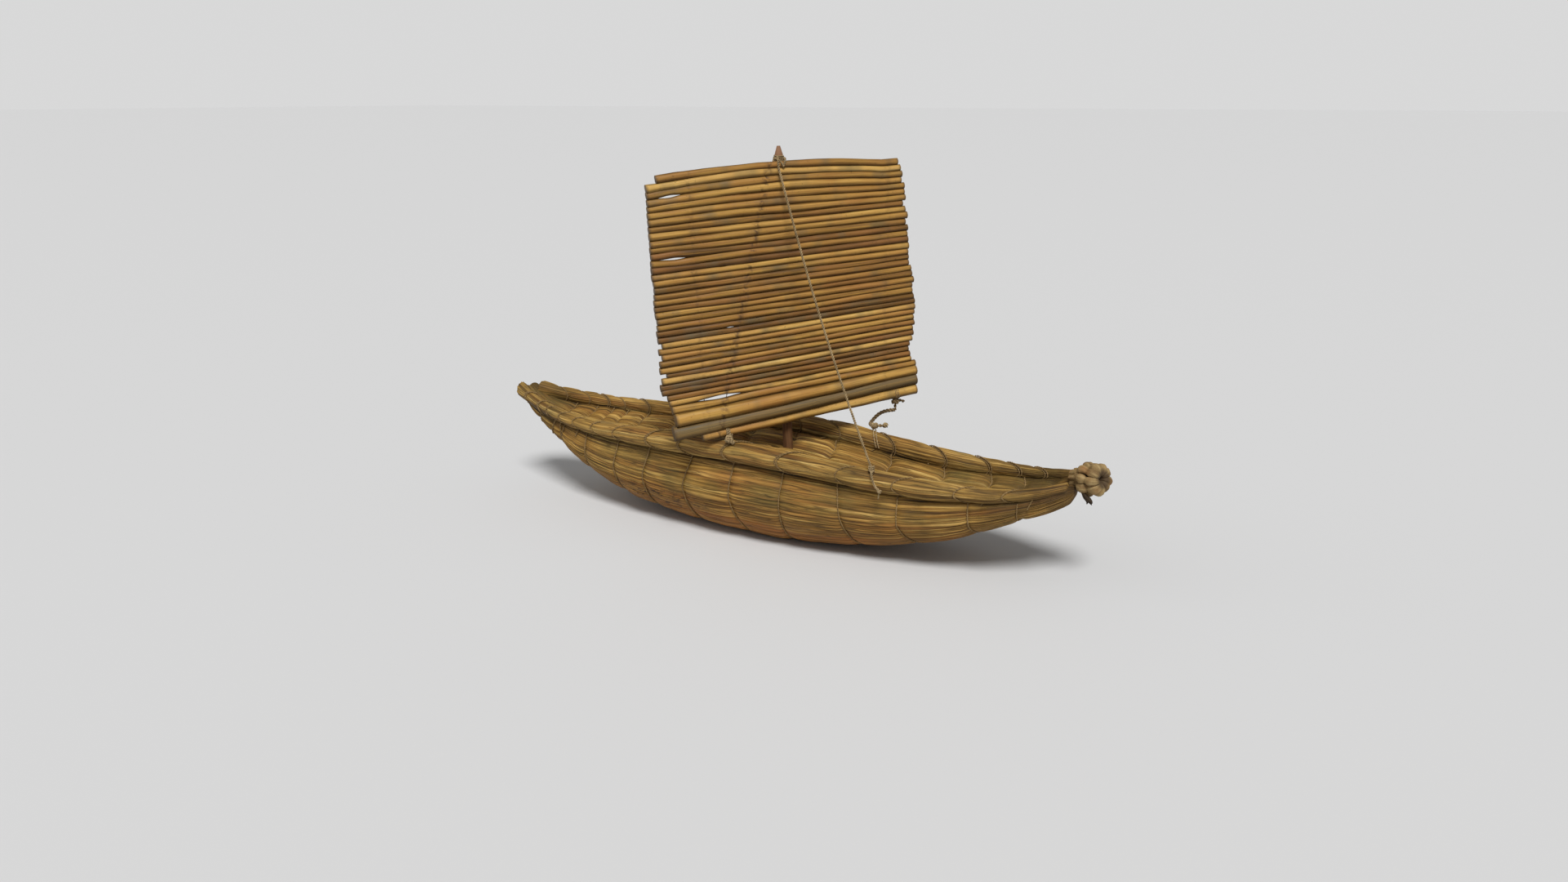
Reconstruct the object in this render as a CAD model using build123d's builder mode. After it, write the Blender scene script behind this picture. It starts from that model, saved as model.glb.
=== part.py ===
from build123d import *
import math
import os

# Reed boat: two round reed bundles pressed together at the centre plane, a thin roll lashed
# along each edge, a bow whose reed ends are folded back into a knob, and a mast that carries
# a mat of sewn reeds as its sail.
# Millimetres. +X is the bow, +Y is port, +Z is up. The origin is at mid-length on the centre
# plane, at floor level, where the flattened underside rests.

# Lines of the hull, read at stations along X and faired between them
# (x, keel height, half breadth of the side, half breadth and height of the roll's centre,
#  radius of the roll, depth of the groove between the bundles' keels)
hull_lines = (
    (-262, 77.0, 6.0, 4.8, 88.5, 3.4, 0.6),
    (-246, 71.0, 13.5, 11.5, 85.0, 4.4, 1.2),
    (-228, 63.5, 22.0, 18.5, 81.0, 5.0, 2.0),
    (-205, 50.0, 30.0, 26.0, 77.5, 5.6, 2.6),
    (-175, 31.0, 37.5, 32.5, 75.0, 6.6, 3.2),
    (-140, 14.5, 43.0, 37.0, 74.2, 7.5, 3.6),
    (-100, 5.5, 48.0, 40.8, 74.8, 8.3, 3.0),
    (-50, 0.5, 52.3, 43.6, 76.2, 9.0, 1.6),
    (0, -1.5, 54.0, 44.7, 76.6, 9.2, 1.0),
    (50, 0.5, 52.0, 43.2, 74.2, 9.1, 1.6),
    (100, 8.0, 47.0, 39.6, 70.0, 8.8, 3.0),
    (140, 17.5, 42.3, 36.2, 68.2, 8.1, 3.6),
    (170, 28.5, 38.0, 33.4, 68.6, 6.8, 3.2),
    (200, 43.0, 33.0, 29.6, 70.4, 5.4, 2.6),
    (225, 53.0, 25.0, 21.8, 74.6, 4.8, 1.8),
    (248, 61.0, 13.0, 10.4, 80.0, 4.4, 0.8),
)

stern_end = -256.0          # main bundles
bow_end = 247.0             # main bundles, where the reeds gather into the neck
roll_stern_end = {-1: -261.0, 1: -250.0}    # the starboard roll is the longer one
roll_bow_end = 243.0
side_level = 0.6            # height of the widest point, as a share of the room under the roll
deck_groove = 0.22          # depth of the valley between the bundles, per radius of the crown

# Lashings (x of each turn)
bundle_turns = (-226, -198, -166, -131, -97, -55, -13, 33, 83, 130, 179, 211)
roll_turns = {
    -1: (-241, -220, -206, -188, -169, -146, -120, -85, -52, -10, 38, 88, 132, 176, 208),
    1: (-231, -211, -194, -178, -155, -120, -85, -45, -6, 31, 80, 125, 163, 189, 211),
}
bundle_pinch = 3.0          # how deep a turn sinks into a bundle
roll_pinch = 1.2
deepest_pinch = 0.3         # of the half breadth, near the tips
plateau = 0.3               # where a bay between two turns reaches full size, per bay length
twine = 1.1                 # thickness of a bundle's turn
roll_twine = 0.8
turn_width = 2.0
seat_gap = 0.3              # between the rolls and the bundles
lash_gap = 0.2              # between a turn and the reeds under it
facet_angle = 22.5          # each straight of a bundle's outline turns by this much
roll_sides = 10             # straights of the outlines of a roll, a reed, a knot, the mast, a rope
reed_sides = 10
knot_sides = 8
mast_sides = 24
rope_sides = 6

# Mast
mast_x = 12.0               # where its axis leaves the deck
deck_z = 71.0
mast_height = 238.0         # above the deck
mast_lean = 8.4             # how far the tip leans aft
mast_foot = -45.0           # depth of the foot below the deck level
mast_radius = 4.1
mast_top_radius = 3.3
mast_point_radius = 1.3
mast_point_length = 6.5
mast_clearance = 0.35       # the mast turns in its step

# Sail: a mat of round reeds in front of the mast
sail_yaw = 46.0             # the reeds' direction, from the bow towards port
sail_gap = 0.3              # between the mast and the reeds
reed_count = 36
reed_top = 4.9              # diameters at the top and the bottom of the mat
reed_bottom = 4.1
mat_top_left = 218.0        # heights above the deck, at the ends of the topmost reed
mat_top_right = 224.5
mat_bottom_left = 49.3      # and at the ends of the lowest one
mat_bottom_right = 64.8
mat_left = -107.0           # left end of the mat from the mast axis, top and bottom
mat_left_drift = 9.0
mat_right = 93.0
mat_right_drift = 20.0
# How far single reeds fall short of the mat's edge, repeated down the mat
short_left = (10, 1, 1, 0, 5, 0, 3, 0, 10, 2, 9, 9, 1, 9, 7)
short_right = (2, 0, 3, 5, 1, 0, 4, 2, 6, 1, 3)

# A thin and three thick foot reeds (left end, height there, right end, height there, diameter)
foot_reeds_table = (
    (-97, 44.0, 112, 60.6, 4.1),
    (-95, 35.0, 115, 55.1, 7.2),
    (-97, 23.5, 116, 46.4, 7.4),
    (-71, 18.8, 115, 37.0, 6.6),
)

# Knots and ropes
masthead_drop = 8.0         # from the mast's tip down to the middle of its knot
masthead_knot_height = 7.0
masthead_knot_radius = 6.4
stay_radius = 0.9
stay_foot_x = 104.0         # where the stay is tied to the starboard roll
stay_rise = 3.5             # where it leaves the masthead, above the middle of the knot
stay_lean = 25.0            # where its knot sits, outboard from the roll's top, degrees
stay_tail = 12.0            # below the roll's side
stay_tail_drift = 3.0
stay_tail_lean = 78.0
knot_radius = 2.6
knot_gap = 0.25
wrap_gap = 0.05             # between the mast and the twine wound on it
sheet_radius = 1.65
sheet_foot_x = 70.5         # where the sheet is tied to the port roll
sheet_lean = 14.0
sheet_knot_radius = 3.2
sheet_stub = 9.0
stub_direction = (1, 0.1, 0.12)
hitch_along = 93.0          # where the sheet's upper end is tied, from the mast axis
hitch_radius = 2.0
hitch_tail = 8.0
hitch_tail_radius = 1.2
# Route of the sheet from under the hitch to its knot on the port roll
sheet_points = ((81.0, 61.5, 95.4), (73.5, 60.5, 94.2), (66.5, 59.5, 90.0),
                (62.5, 56.5, 84.2), (62.8, 51.0, 82.6), (67.9, 47.2, 83.3))

# Knob of folded reed ends at the bow
knob_z = 76.0               # where its axis leaves the bundles' end
knob_rise = 38.0            # slope of its axis, degrees
knob_core_radius = 9.0
knob_core_length = 18.0
knob_root = 12.0            # how far the core is drawn back before it is cut square
fold_count = 10
fold_ring_radius = 8.9
fold_radius = 4.1
fold_start = 7.0            # along the axis
fold_length = 14.5
fold_tip = 2.0              # length of the narrower end of a fold
fold_tip_radius = 2.8
fold_sides = 6

parts_folder = "parts"
os.makedirs(parts_folder, exist_ok=True)


def save(shape, name):
    shape.label = name
    export_step(shape, f"{parts_folder}/{name}.step")
    print(f"{name}: {shape.volume:.1f} mm3")


def line_of(column, x):
    """One of the hull's lines at x: a smooth curve through the table's stations."""
    rows = hull_lines
    k = max(0, min(len(rows) - 2, sum(1 for row in rows if row[0] <= x) - 1))
    before, start, end, after = (rows[max(0, k - 1)], rows[k], rows[k + 1],
                                 rows[min(len(rows) - 1, k + 2)])
    span = end[0] - start[0]
    t = (x - start[0]) / span
    slope_start = (end[column] - before[column]) / (end[0] - before[0]) * span
    slope_end = (after[column] - start[column]) / (after[0] - start[0]) * span
    return ((2 * t**3 - 3 * t**2 + 1) * start[column] + (t**3 - 2 * t**2 + t) * slope_start
            + (3 * t**2 - 2 * t**3) * end[column] + (t**3 - t**2) * slope_end)


def pinch_at(x, turns, first, last):
    """How much of the pinch's depth there is at x: all under each turn, none between."""
    edges = (first, *turns, last)
    for a, b in zip(edges, edges[1:]):
        if a <= x <= b:
            room = plateau * (b - a)
            return max(0.0, 1 - (x - a) / room, 1 - (b - x) / room)
    return 1.0


def stations(turns, first, last):
    """Stations of a lashed bundle: its ends, each turn, and the full places between."""
    edges = (first, *turns, last)
    places = [first]
    for a, b in zip(edges, edges[1:]):
        places += [a + plateau * (b - a), b - plateau * (b - a), b]
    return places


def bundle_swell(x):
    """Share of its full size that a main bundle has at x."""
    deepest = min(bundle_pinch / line_of(2, x), deepest_pinch)
    return 1 - deepest * pinch_at(x, bundle_turns, stern_end, bow_end)


def roll_radius(side_sign, x):
    """Radius of a roll at x, pinched under its turns."""
    depth = min(roll_pinch, deepest_pinch * line_of(5, x))
    return line_of(5, x) - depth * pinch_at(x, roll_turns[side_sign],
                                            roll_stern_end[side_sign], roll_bow_end)


def station_plane(x):
    """Plane across the boat at x, with its own x to port and its own y up."""
    return Plane(origin=(x, 0, 0), x_dir=(0, 1, 0), z_dir=(1, 0, 0))


def bundle_shape(x):
    """Circles of a main bundle at x: crown under the roll, bilge down to the keel."""
    keel, side = line_of(1, x), line_of(2, x)
    roll_y, roll_z, roll_r = line_of(3, x), line_of(4, x), line_of(5, x)
    level = keel + side_level * (roll_z - roll_r - keel)
    # The crown is as large as makes it touch the side and stand a seat's gap off the roll.
    inset, rise, reach = roll_y - side, roll_z - level, roll_r + seat_gap
    crown = (inset**2 + rise**2 - reach**2) / (2 * (reach - inset))
    return side, level, crown, level - keel, line_of(6, x)


def bundle_section(x, side_sign, offset=0.0):
    """Outline of a main bundle at x, or of a turn of twine at an offset from it: flat on the
    centre plane, hollowed at the deck and the keel, round between them in straights."""
    side, level, crown, bilge, keel_groove = bundle_shape(x)
    scale = bundle_swell(x)
    reach = offset / scale
    valley = deck_groove * crown
    top, bottom = level + crown + reach, level - bilge - reach
    points = [(0, top - valley), ((side - crown) / 2, top - valley / 4)]
    steps = int(90 / facet_angle)
    for k in range(steps + 1):
        a = math.radians(90 - k * facet_angle)
        points.append((side - crown + (crown + reach) * math.cos(a),
                       level + (crown + reach) * math.sin(a)))
    for k in range(1, steps + 1):
        a = math.radians(k * facet_angle)
        points.append((side - bilge + (bilge + reach) * math.cos(a),
                       level - (bilge + reach) * math.sin(a)))
    points += [((side - bilge) / 2, bottom + keel_groove / 4), (0, bottom + keel_groove)]
    with BuildSketch(station_plane(x)) as section:
        with BuildLine():
            Polyline([(side_sign * scale * y, level + scale * (z - level)) for y, z in points],
                     close=True)
        make_face()
    return section.sketch


def roll_section(x, side_sign, offset=0.0):
    """Outline of a roll at x, or of a turn of twine at an offset from it."""
    with BuildSketch(station_plane(x)) as section:
        with Locations((side_sign * line_of(3, x), line_of(4, x))):
            RegularPolygon(roll_radius(side_sign, x) + offset, roll_sides)
    return section.sketch


def barrel(middle, direction, radius, sides):
    """Steps of a faceted knot about a rope that leaves along direction: outlines and lengths."""
    plane = Plane(origin=middle, z_dir=direction)
    steps = []
    for start, end, share in ((-1, -0.5, 0.7), (-0.5, 0.5, 1), (0.5, 1, 0.7)):
        with BuildSketch(plane.offset(start * radius)) as section:
            RegularPolygon(radius * share, sides)
        steps.append((section.sketch, (end - start) * radius))
    return steps


def route_radii(points):
    """Largest arcs that the runs of a rope's route leave room for, one at each corner."""
    corners = [Vector(*p) for p in points]
    radii = []
    for a, b, c in zip(corners, corners[1:], corners[2:]):
        turn = math.radians((b - a).get_angle(c - b))
        radii.append(0.45 * min((b - a).length, (c - b).length) / math.tan(turn / 2))
    print("route radii", [round(r, 1) for r in radii])
    return radii


# Mast axis and the sail's own plane: x along the reeds, y away from the mast's front, z up it
mast_direction = Vector(-mast_lean, 0, mast_height).normalized()
yaw = math.radians(sail_yaw)
rig = Plane(origin=(mast_x, 0, deck_z), x_dir=(math.cos(yaw), math.sin(yaw), 0),
            z_dir=mast_direction)


def mast_radius_at(up):
    taper = (mast_top_radius - mast_radius) / (mast_height - mast_point_length)
    return mast_radius + taper * up


def on_rig(along, ahead, up):
    """Point given along the reeds, ahead of the mast's axis and above the deck."""
    return rig.from_local_coords(Vector(along, -ahead, up))


# Main bundles
for side_sign, name in ((-1, "main_bundle_starboard"), (1, "main_bundle_port")):
    with BuildPart() as main_bundle:
        loft([bundle_section(x, side_sign)
              for x in stations(bundle_turns, stern_end, bow_end)], ruled=True)
        with Locations(rig.location * Location((0, 0, mast_foot - mast_clearance))):
            Cylinder(mast_radius + mast_clearance, 2 * deck_z, mode=Mode.SUBTRACT,
                     align=(Align.CENTER, Align.CENTER, Align.MIN))
        split(bisect_by=Plane.XY, keep=Keep.TOP)
    save(main_bundle.part, name)

# Rolls along the edges
for side_sign, name in ((-1, "gunwale_roll_starboard"), (1, "gunwale_roll_port")):
    turns = roll_turns[side_sign]
    first = roll_stern_end[side_sign]
    with BuildPart() as roll:
        edges = (first, *turns, roll_bow_end)
        places = sorted({*edges, *[(a + b) / 2 for a, b in zip(edges, edges[1:])]})
        loft([roll_section(x, side_sign) for x in places], ruled=True)
    save(roll.part, name)

# Lashing turns round the main bundles
for side_sign, name in ((-1, "bundle_lashings_starboard"), (1, "bundle_lashings_port")):
    with BuildPart() as bundle_lashings:
        for turn_x in bundle_turns:
            for offset, mode in ((lash_gap + twine, Mode.ADD), (lash_gap, Mode.SUBTRACT)):
                loft([bundle_section(x, side_sign, offset)
                      for x in (turn_x - turn_width / 2, turn_x + turn_width / 2)],
                     ruled=True, mode=mode)
        split(bisect_by=Plane.XY, keep=Keep.TOP)
    save(bundle_lashings.part, name)

# Lashing turns round the rolls
for side_sign, name in ((-1, "roll_lashings_starboard"), (1, "roll_lashings_port")):
    with BuildPart() as roll_lashings:
        for turn_x in roll_turns[side_sign]:
            for offset, mode in ((lash_gap + roll_twine, Mode.ADD), (lash_gap, Mode.SUBTRACT)):
                loft([roll_section(x, side_sign, offset)
                      for x in (turn_x - turn_width / 2, turn_x + turn_width / 2)],
                     ruled=True, mode=mode)
    save(roll_lashings.part, name)

# Knob: reed ends folded back round a core, about an axis that rises forward
rise = math.radians(knob_rise)
knob_plane = Plane(origin=(bow_end, 0, knob_z), x_dir=(0, 1, 0),
                   z_dir=(math.cos(rise), 0, math.sin(rise)))
with BuildPart() as bow_knob:
    with BuildSketch(knob_plane.offset(-knob_root)):
        RegularPolygon(knob_core_radius, 2 * fold_count)
    extrude(amount=knob_root + knob_core_length)
    for along, length, radius in ((fold_start, fold_length, fold_radius),
                                  (fold_start + fold_length, fold_tip, fold_tip_radius)):
        with BuildSketch(knob_plane.offset(along)):
            with PolarLocations(fold_ring_radius, fold_count):
                RegularPolygon(radius, fold_sides)
        extrude(amount=length)
    split(bisect_by=station_plane(bow_end + knot_gap), keep=Keep.TOP)
save(bow_knob.part, "bow_knob")

# Mast: a tapered stick whose foot stands in its step between the bundles
with BuildPart() as mast:
    for up, radius in ((mast_foot, mast_radius), (0, mast_radius),
                       (mast_height - mast_point_length, mast_top_radius),
                       (mast_height, mast_point_radius)):
        with BuildSketch(rig.offset(up)):
            RegularPolygon(radius, mast_sides)
    loft(ruled=True)
save(mast.part, "mast")

# Sail: the mat's reeds from the top down, each a little shorter than the mat's full width
front = mast_radius + sail_gap
with BuildPart() as sail_reeds:
    for k in range(reed_count):
        share = k / (reed_count - 1)
        diameter = reed_top + (reed_bottom - reed_top) * share
        # Each reed takes the room that its thickness needs, so the lower ones lie closer.
        fall = share * (reed_top + diameter) / (reed_top + reed_bottom)
        start = on_rig(mat_left + mat_left_drift * share, front + reed_top / 2,
                       mat_top_left + (mat_bottom_left - mat_top_left) * fall)
        end = on_rig(mat_right + mat_right_drift * share, front + reed_top / 2,
                     mat_top_right + (mat_bottom_right - mat_top_right) * fall)
        direction = (end - start).normalized()
        start += direction * short_left[k % len(short_left)]
        end -= direction * short_right[k % len(short_right)]
        with BuildSketch(Plane(origin=start, z_dir=direction)):
            RegularPolygon(diameter / 2, reed_sides)
        extrude(amount=(end - start).length)
save(sail_reeds.part, "sail_reeds")

# Foot reeds: thicker, skewed, below the mat
with BuildPart() as foot_reeds:
    for left, left_z, right, right_z, diameter in foot_reeds_table:
        start = on_rig(left, front + diameter / 2, left_z)
        end = on_rig(right, front + diameter / 2, right_z)
        with BuildSketch(Plane(origin=start, z_dir=(end - start).normalized())):
            RegularPolygon(diameter / 2, reed_sides)
        extrude(amount=(end - start).length)
save(foot_reeds.part, "foot_reeds")

# Masthead knot: twine wound round the mast above the mat
masthead_z = mast_height - masthead_drop
with BuildPart() as masthead_knot:
    with BuildSketch(Plane(origin=on_rig(0, 0, masthead_z - masthead_knot_height / 2),
                           z_dir=rig.z_dir)):
        RegularPolygon(masthead_knot_radius, knot_sides)
        Circle(mast_radius_at(masthead_z - masthead_knot_height / 2) + wrap_gap,
               mode=Mode.SUBTRACT)
    extrude(amount=masthead_knot_height)
save(masthead_knot.part, "masthead_knot")


def on_roll(side_sign, x, lean_out, height):
    """Point over a roll at x: height above its surface, leaning outboard by an angle."""
    reach = roll_radius(side_sign, x) + height
    a = math.radians(lean_out)
    return Vector(x, side_sign * (line_of(3, x) + reach * math.sin(a)),
                  line_of(4, x) + reach * math.cos(a))


# Stay: taut twine from the masthead to its knot on the starboard roll, with a loose tail
knot_seat = on_roll(-1, stay_foot_x, stay_lean, knot_gap + knot_radius)
masthead = on_rig(0, 0, masthead_z + stay_rise)
towards = (knot_seat - masthead) - rig.z_dir * (knot_seat - masthead).dot(rig.z_dir)
stay_head = masthead + towards.normalized() * (masthead_knot_radius + knot_gap + stay_radius)
tail_knee = on_roll(-1, stay_foot_x + stay_tail_drift, stay_tail_lean, 2 * stay_radius)
with BuildPart() as stay:
    with BuildSketch(Plane(origin=stay_head, z_dir=knot_seat - stay_head)):
        RegularPolygon(stay_radius, knot_sides)
    extrude(amount=(knot_seat - stay_head).length)
    for outline, length in barrel(knot_seat, knot_seat - stay_head, knot_radius, knot_sides):
        extrude(outline, amount=length)
    with BuildSketch(Plane(origin=knot_seat, z_dir=tail_knee - knot_seat)):
        RegularPolygon(stay_radius, knot_sides)
    extrude(amount=(tail_knee - knot_seat).length + stay_radius)
    with BuildSketch(Plane(origin=tail_knee + Vector(0, 0, stay_radius), z_dir=(0.1, 0, -1))):
        RegularPolygon(stay_radius, knot_sides)
    extrude(amount=stay_tail)
save(stay.part, "stay")

# Sheet: a short slack rope from the foot of the sail to its knot on the port roll
sheet_seat = on_roll(1, sheet_foot_x, sheet_lean, knot_gap + sheet_knot_radius)
with BuildPart() as sheet_knot:
    for outline, length in barrel(sheet_seat, stub_direction, sheet_knot_radius, knot_sides):
        extrude(outline, amount=length)
    with BuildSketch(Plane(origin=sheet_seat, z_dir=stub_direction)):
        RegularPolygon(sheet_radius, knot_sides)
    extrude(amount=sheet_stub)
save(sheet_knot.part, "sheet_knot")

hitch_reed = foot_reeds_table[-1]
hitch_share = (hitch_along - hitch_reed[0]) / (hitch_reed[2] - hitch_reed[0])
hitch_up = hitch_reed[1] + hitch_share * (hitch_reed[3] - hitch_reed[1])
hitch_seat = on_rig(hitch_along, front + hitch_reed[4] / 2,
                    hitch_up - hitch_reed[4] / 2 - knot_gap - hitch_radius)
tail_direction = rig.x_dir + Vector(0, 0, 0.1)
with BuildPart() as sheet_hitch:
    for outline, length in barrel(hitch_seat, tail_direction, hitch_radius, knot_sides):
        extrude(outline, amount=length)
    with BuildSketch(Plane(origin=hitch_seat, z_dir=tail_direction)):
        RegularPolygon(hitch_tail_radius, knot_sides)
    extrude(amount=hitch_tail)
save(sheet_hitch.part, "sheet_hitch")

with BuildPart() as sheet_rope:
    with BuildLine() as sheet_route:
        FilletPolyline(*sheet_points, radius=route_radii(sheet_points))
    with BuildSketch(Plane(origin=sheet_route.line @ 0,
                           z_dir=sheet_route.line % 0)) as sheet_section:
        RegularPolygon(sheet_radius, rope_sides)
    sweep()
save(sheet_rope.part, "sheet_rope")
print("sheet length", round(sheet_route.wire().length, 1), "by volume",
      round(sheet_rope.part.volume / sheet_section.sketch.area, 1))
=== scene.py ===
"""Reed boat with a mat sail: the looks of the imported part, as a set of Blender operators."""
import math

import bpy
import bmesh
import numpy as np
from bpy.props import FloatProperty, FloatVectorProperty, IntProperty, PointerProperty
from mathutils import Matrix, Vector


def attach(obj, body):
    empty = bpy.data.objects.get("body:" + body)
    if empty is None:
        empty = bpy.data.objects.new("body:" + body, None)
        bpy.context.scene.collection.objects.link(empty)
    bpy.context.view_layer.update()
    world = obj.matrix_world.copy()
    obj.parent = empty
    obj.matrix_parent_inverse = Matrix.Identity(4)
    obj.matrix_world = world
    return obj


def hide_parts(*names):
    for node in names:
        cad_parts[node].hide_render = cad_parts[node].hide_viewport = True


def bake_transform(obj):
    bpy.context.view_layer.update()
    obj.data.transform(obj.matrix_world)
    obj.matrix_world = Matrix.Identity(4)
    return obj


bl_info = {
    "name": "Reed Boat",
    "version": (1, 0, 0),
    "blender": (4, 5, 0),
    "location": "View3D > Sidebar > Reed Boat",
    "description": "Builds the reeds, twine, sail and stage round the packed reed boat",
    "category": "Object",
}

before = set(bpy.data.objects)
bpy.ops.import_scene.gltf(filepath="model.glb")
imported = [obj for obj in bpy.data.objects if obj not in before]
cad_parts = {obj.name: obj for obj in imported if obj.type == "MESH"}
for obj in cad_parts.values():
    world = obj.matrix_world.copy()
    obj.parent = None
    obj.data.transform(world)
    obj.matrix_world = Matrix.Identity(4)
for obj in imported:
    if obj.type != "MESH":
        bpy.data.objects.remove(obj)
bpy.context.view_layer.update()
MM = 0.001

# Lines of the hull along X in mm: x, keel height, half breadth, roll's centre across and up,
# roll's radius, groove between the keels
HULL_LINES = np.array((
    (-262, 77.0, 6.0, 4.8, 88.5, 3.4, 0.6), (-246, 71.0, 13.5, 11.5, 85.0, 4.4, 1.2),
    (-228, 63.5, 22.0, 18.5, 81.0, 5.0, 2.0), (-205, 50.0, 30.0, 26.0, 77.5, 5.6, 2.6),
    (-175, 31.0, 37.5, 32.5, 75.0, 6.6, 3.2), (-140, 14.5, 43.0, 37.0, 74.2, 7.5, 3.6),
    (-100, 5.5, 48.0, 40.8, 74.8, 8.3, 3.0), (-50, 0.5, 52.3, 43.6, 76.2, 9.0, 1.6),
    (0, -1.5, 54.0, 44.7, 76.6, 9.2, 1.0), (50, 0.5, 52.0, 43.2, 74.2, 9.1, 1.6),
    (100, 8.0, 47.0, 39.6, 70.0, 8.8, 3.0), (140, 17.5, 42.3, 36.2, 68.2, 8.1, 3.6),
    (170, 28.5, 38.0, 33.4, 68.6, 6.8, 3.2), (200, 43.0, 33.0, 29.6, 70.4, 5.4, 2.6),
    (225, 53.0, 25.0, 21.8, 74.6, 4.8, 1.8), (248, 61.0, 13.0, 10.4, 80.0, 4.4, 0.8),
))
KEEL, BREADTH, ROLL_Y, ROLL_Z, ROLL_R, GROOVE = range(1, 7)
BUNDLE_ENDS = (-256.0, 247.0)
ROLL_ENDS = {-1: (-261.0, 243.0), 1: (-250.0, 243.0)}
BUNDLE_TURNS = (-226, -198, -166, -131, -97, -55, -13, 33, 83, 130, 179, 211)
ROLL_TURNS = {
    -1: (-241, -220, -206, -188, -169, -146, -120, -85, -52, -10, 38, 88, 132, 176, 208),
    1: (-231, -211, -194, -178, -155, -120, -85, -45, -6, 31, 80, 125, 163, 189, 211),
}
# How far each turn on a bundle strays along X: at the roll, half way down and at the bottom
TURN_COURSES = np.array(((0, 0, 0), (0, -1, -1), (0, -2, -1), (1, -3, 0), (1, -4, 0),
                         (2.4, -4.4, 1.7), (-0.7, -1.7, 7), (-3.4, -4, -1.7), (-8, -3, 7),
                         (-7, -6, 7), (-3, -2, 5), (0, 0, 2.0)))
SIDE_NAMES = {-1: "starboard", 1: "port"}
SIDE_LEVEL = 0.6        # where the side is widest, as a share of the height under the roll
DECK_GROOVE = 0.22      # depth of the valley between the bundles, per height of the crown
SEAT_GAP = 0.3          # mm between a roll and the crown that it lies on
DECK_RUN = 80.0         # way over the deck that the turns of a roll cover, in mm

# Mast and sail, in the rig's own directions: along the reeds, ahead of the mast, up the mast
MAST_FOOT = np.array((12.0, 0.0, 71.0))
MAST_UP = np.array((-8.4, 0.0, 238.0)) / math.hypot(8.4, 238.0)
SAIL_ALONG = np.array((math.cos(math.radians(46)), math.sin(math.radians(46)), 0.0))
SAIL_ALONG = SAIL_ALONG - MAST_UP * (SAIL_ALONG @ MAST_UP)
SAIL_ALONG /= np.linalg.norm(SAIL_ALONG)
SAIL_AHEAD = -np.cross(MAST_UP, SAIL_ALONG)

# Knob at the bow: root of its axis and the way it points
KNOB_ROOT = np.array((247.0, 0.0, 76.0))
KNOB_AXIS = np.array((math.cos(math.radians(38)), 0.0, math.sin(math.radians(38))))

# The slack sheet from under the sail's foot to its knot on the port roll, in metres
SHEET_POINTS = ((0.0810, 0.0615, 0.0954), (0.0735, 0.0605, 0.0942), (0.0665, 0.0595, 0.0900),
                (0.0625, 0.0565, 0.0842), (0.0628, 0.0510, 0.0826), (0.0679, 0.0472, 0.0833))
SHEET_DIAMETER = 0.0033


# ---- Shapes of the hull ----

def hull_line(column, x):
    """One of the hull's lines, faired through the table, at an array of x."""
    x = np.asarray(x, float)
    table = HULL_LINES
    last = len(table) - 1
    k = np.clip(np.searchsorted(table[:, 0], x, side="right") - 1, 0, last - 1)
    x0, x1 = table[k, 0], table[k + 1, 0]
    v0, v1 = table[k, column], table[k + 1, column]
    xb, vb = table[np.maximum(k - 1, 0), 0], table[np.maximum(k - 1, 0), column]
    xa, va = table[np.minimum(k + 2, last), 0], table[np.minimum(k + 2, last), column]
    span = x1 - x0
    t = (x - x0) / span
    m0, m1 = (v1 - vb) / (x1 - xb) * span, (va - v0) / (xa - x0) * span
    return ((2 * t**3 - 3 * t**2 + 1) * v0 + (t**3 - 2 * t**2 + t) * m0
            + (3 * t**2 - 2 * t**3) * v1 + (t**3 - t**2) * m1)


def wave(x, length, seed):
    """Smooth random wave along x, from about -1 to 1."""
    rng = np.random.default_rng(seed)
    total = 0.0
    for share in (1.0, 0.47, 0.23):
        phase, stretch = rng.uniform(0, 2 * math.pi), rng.uniform(0.85, 1.15)
        turns = np.asarray(x) / (length * share * stretch)
        total = total + share * np.sin(2 * math.pi * turns + phase)
    return total / 1.35


def tied_in(x, turns, ends, reach=2.6):
    """Pinch at x: (broad, sharp), each 1 under a turn of twine and 0 far from it."""
    edges = np.array((ends[0], *turns, ends[1]), float)
    k = np.clip(np.searchsorted(edges, x) - 1, 0, len(edges) - 2)
    a, b = edges[k], edges[k + 1]
    half = np.maximum((b - a) / 2, 1e-6)
    off = np.clip(np.minimum(x - a, b - x) / half, 0, 1)
    broad = 1 - np.sqrt(np.clip(1 - (1 - off) ** 2.4, 0, 1))
    outside = (x < turns[0]) | (x > turns[-1])
    outer = np.where(x < turns[0], turns[0] - x, x - turns[-1])
    broad = np.where(outside, np.exp(-np.maximum(outer, 0) / 5.0), broad)
    near = np.min(np.abs(np.asarray(x)[..., None] - np.array(turns, float)), axis=-1)
    return broad, np.exp(-(near / reach) ** 2)


def end_taper(x, ends, length):
    """Rounds a bundle off over its last few millimetres."""
    off = np.clip(np.minimum(x - ends[0], ends[1] - x) / length, 0, 1)
    return np.sqrt(np.clip(1 - (1 - off) ** 2, 0.02, 1))


def crown_at(x):
    """Height where a bundle's side is widest, and how high the crown under the roll stands."""
    keel, side, ry, rz, rr = (hull_line(c, x) for c in (KEEL, BREADTH, ROLL_Y, ROLL_Z, ROLL_R))
    level = keel + SIDE_LEVEL * (rz - rr - keel)
    inset, rise, reach = ry - side, rz - level, rr + SEAT_GAP
    return level, (inset**2 + rise**2 - reach**2) / (2 * (reach - inset))


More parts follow.
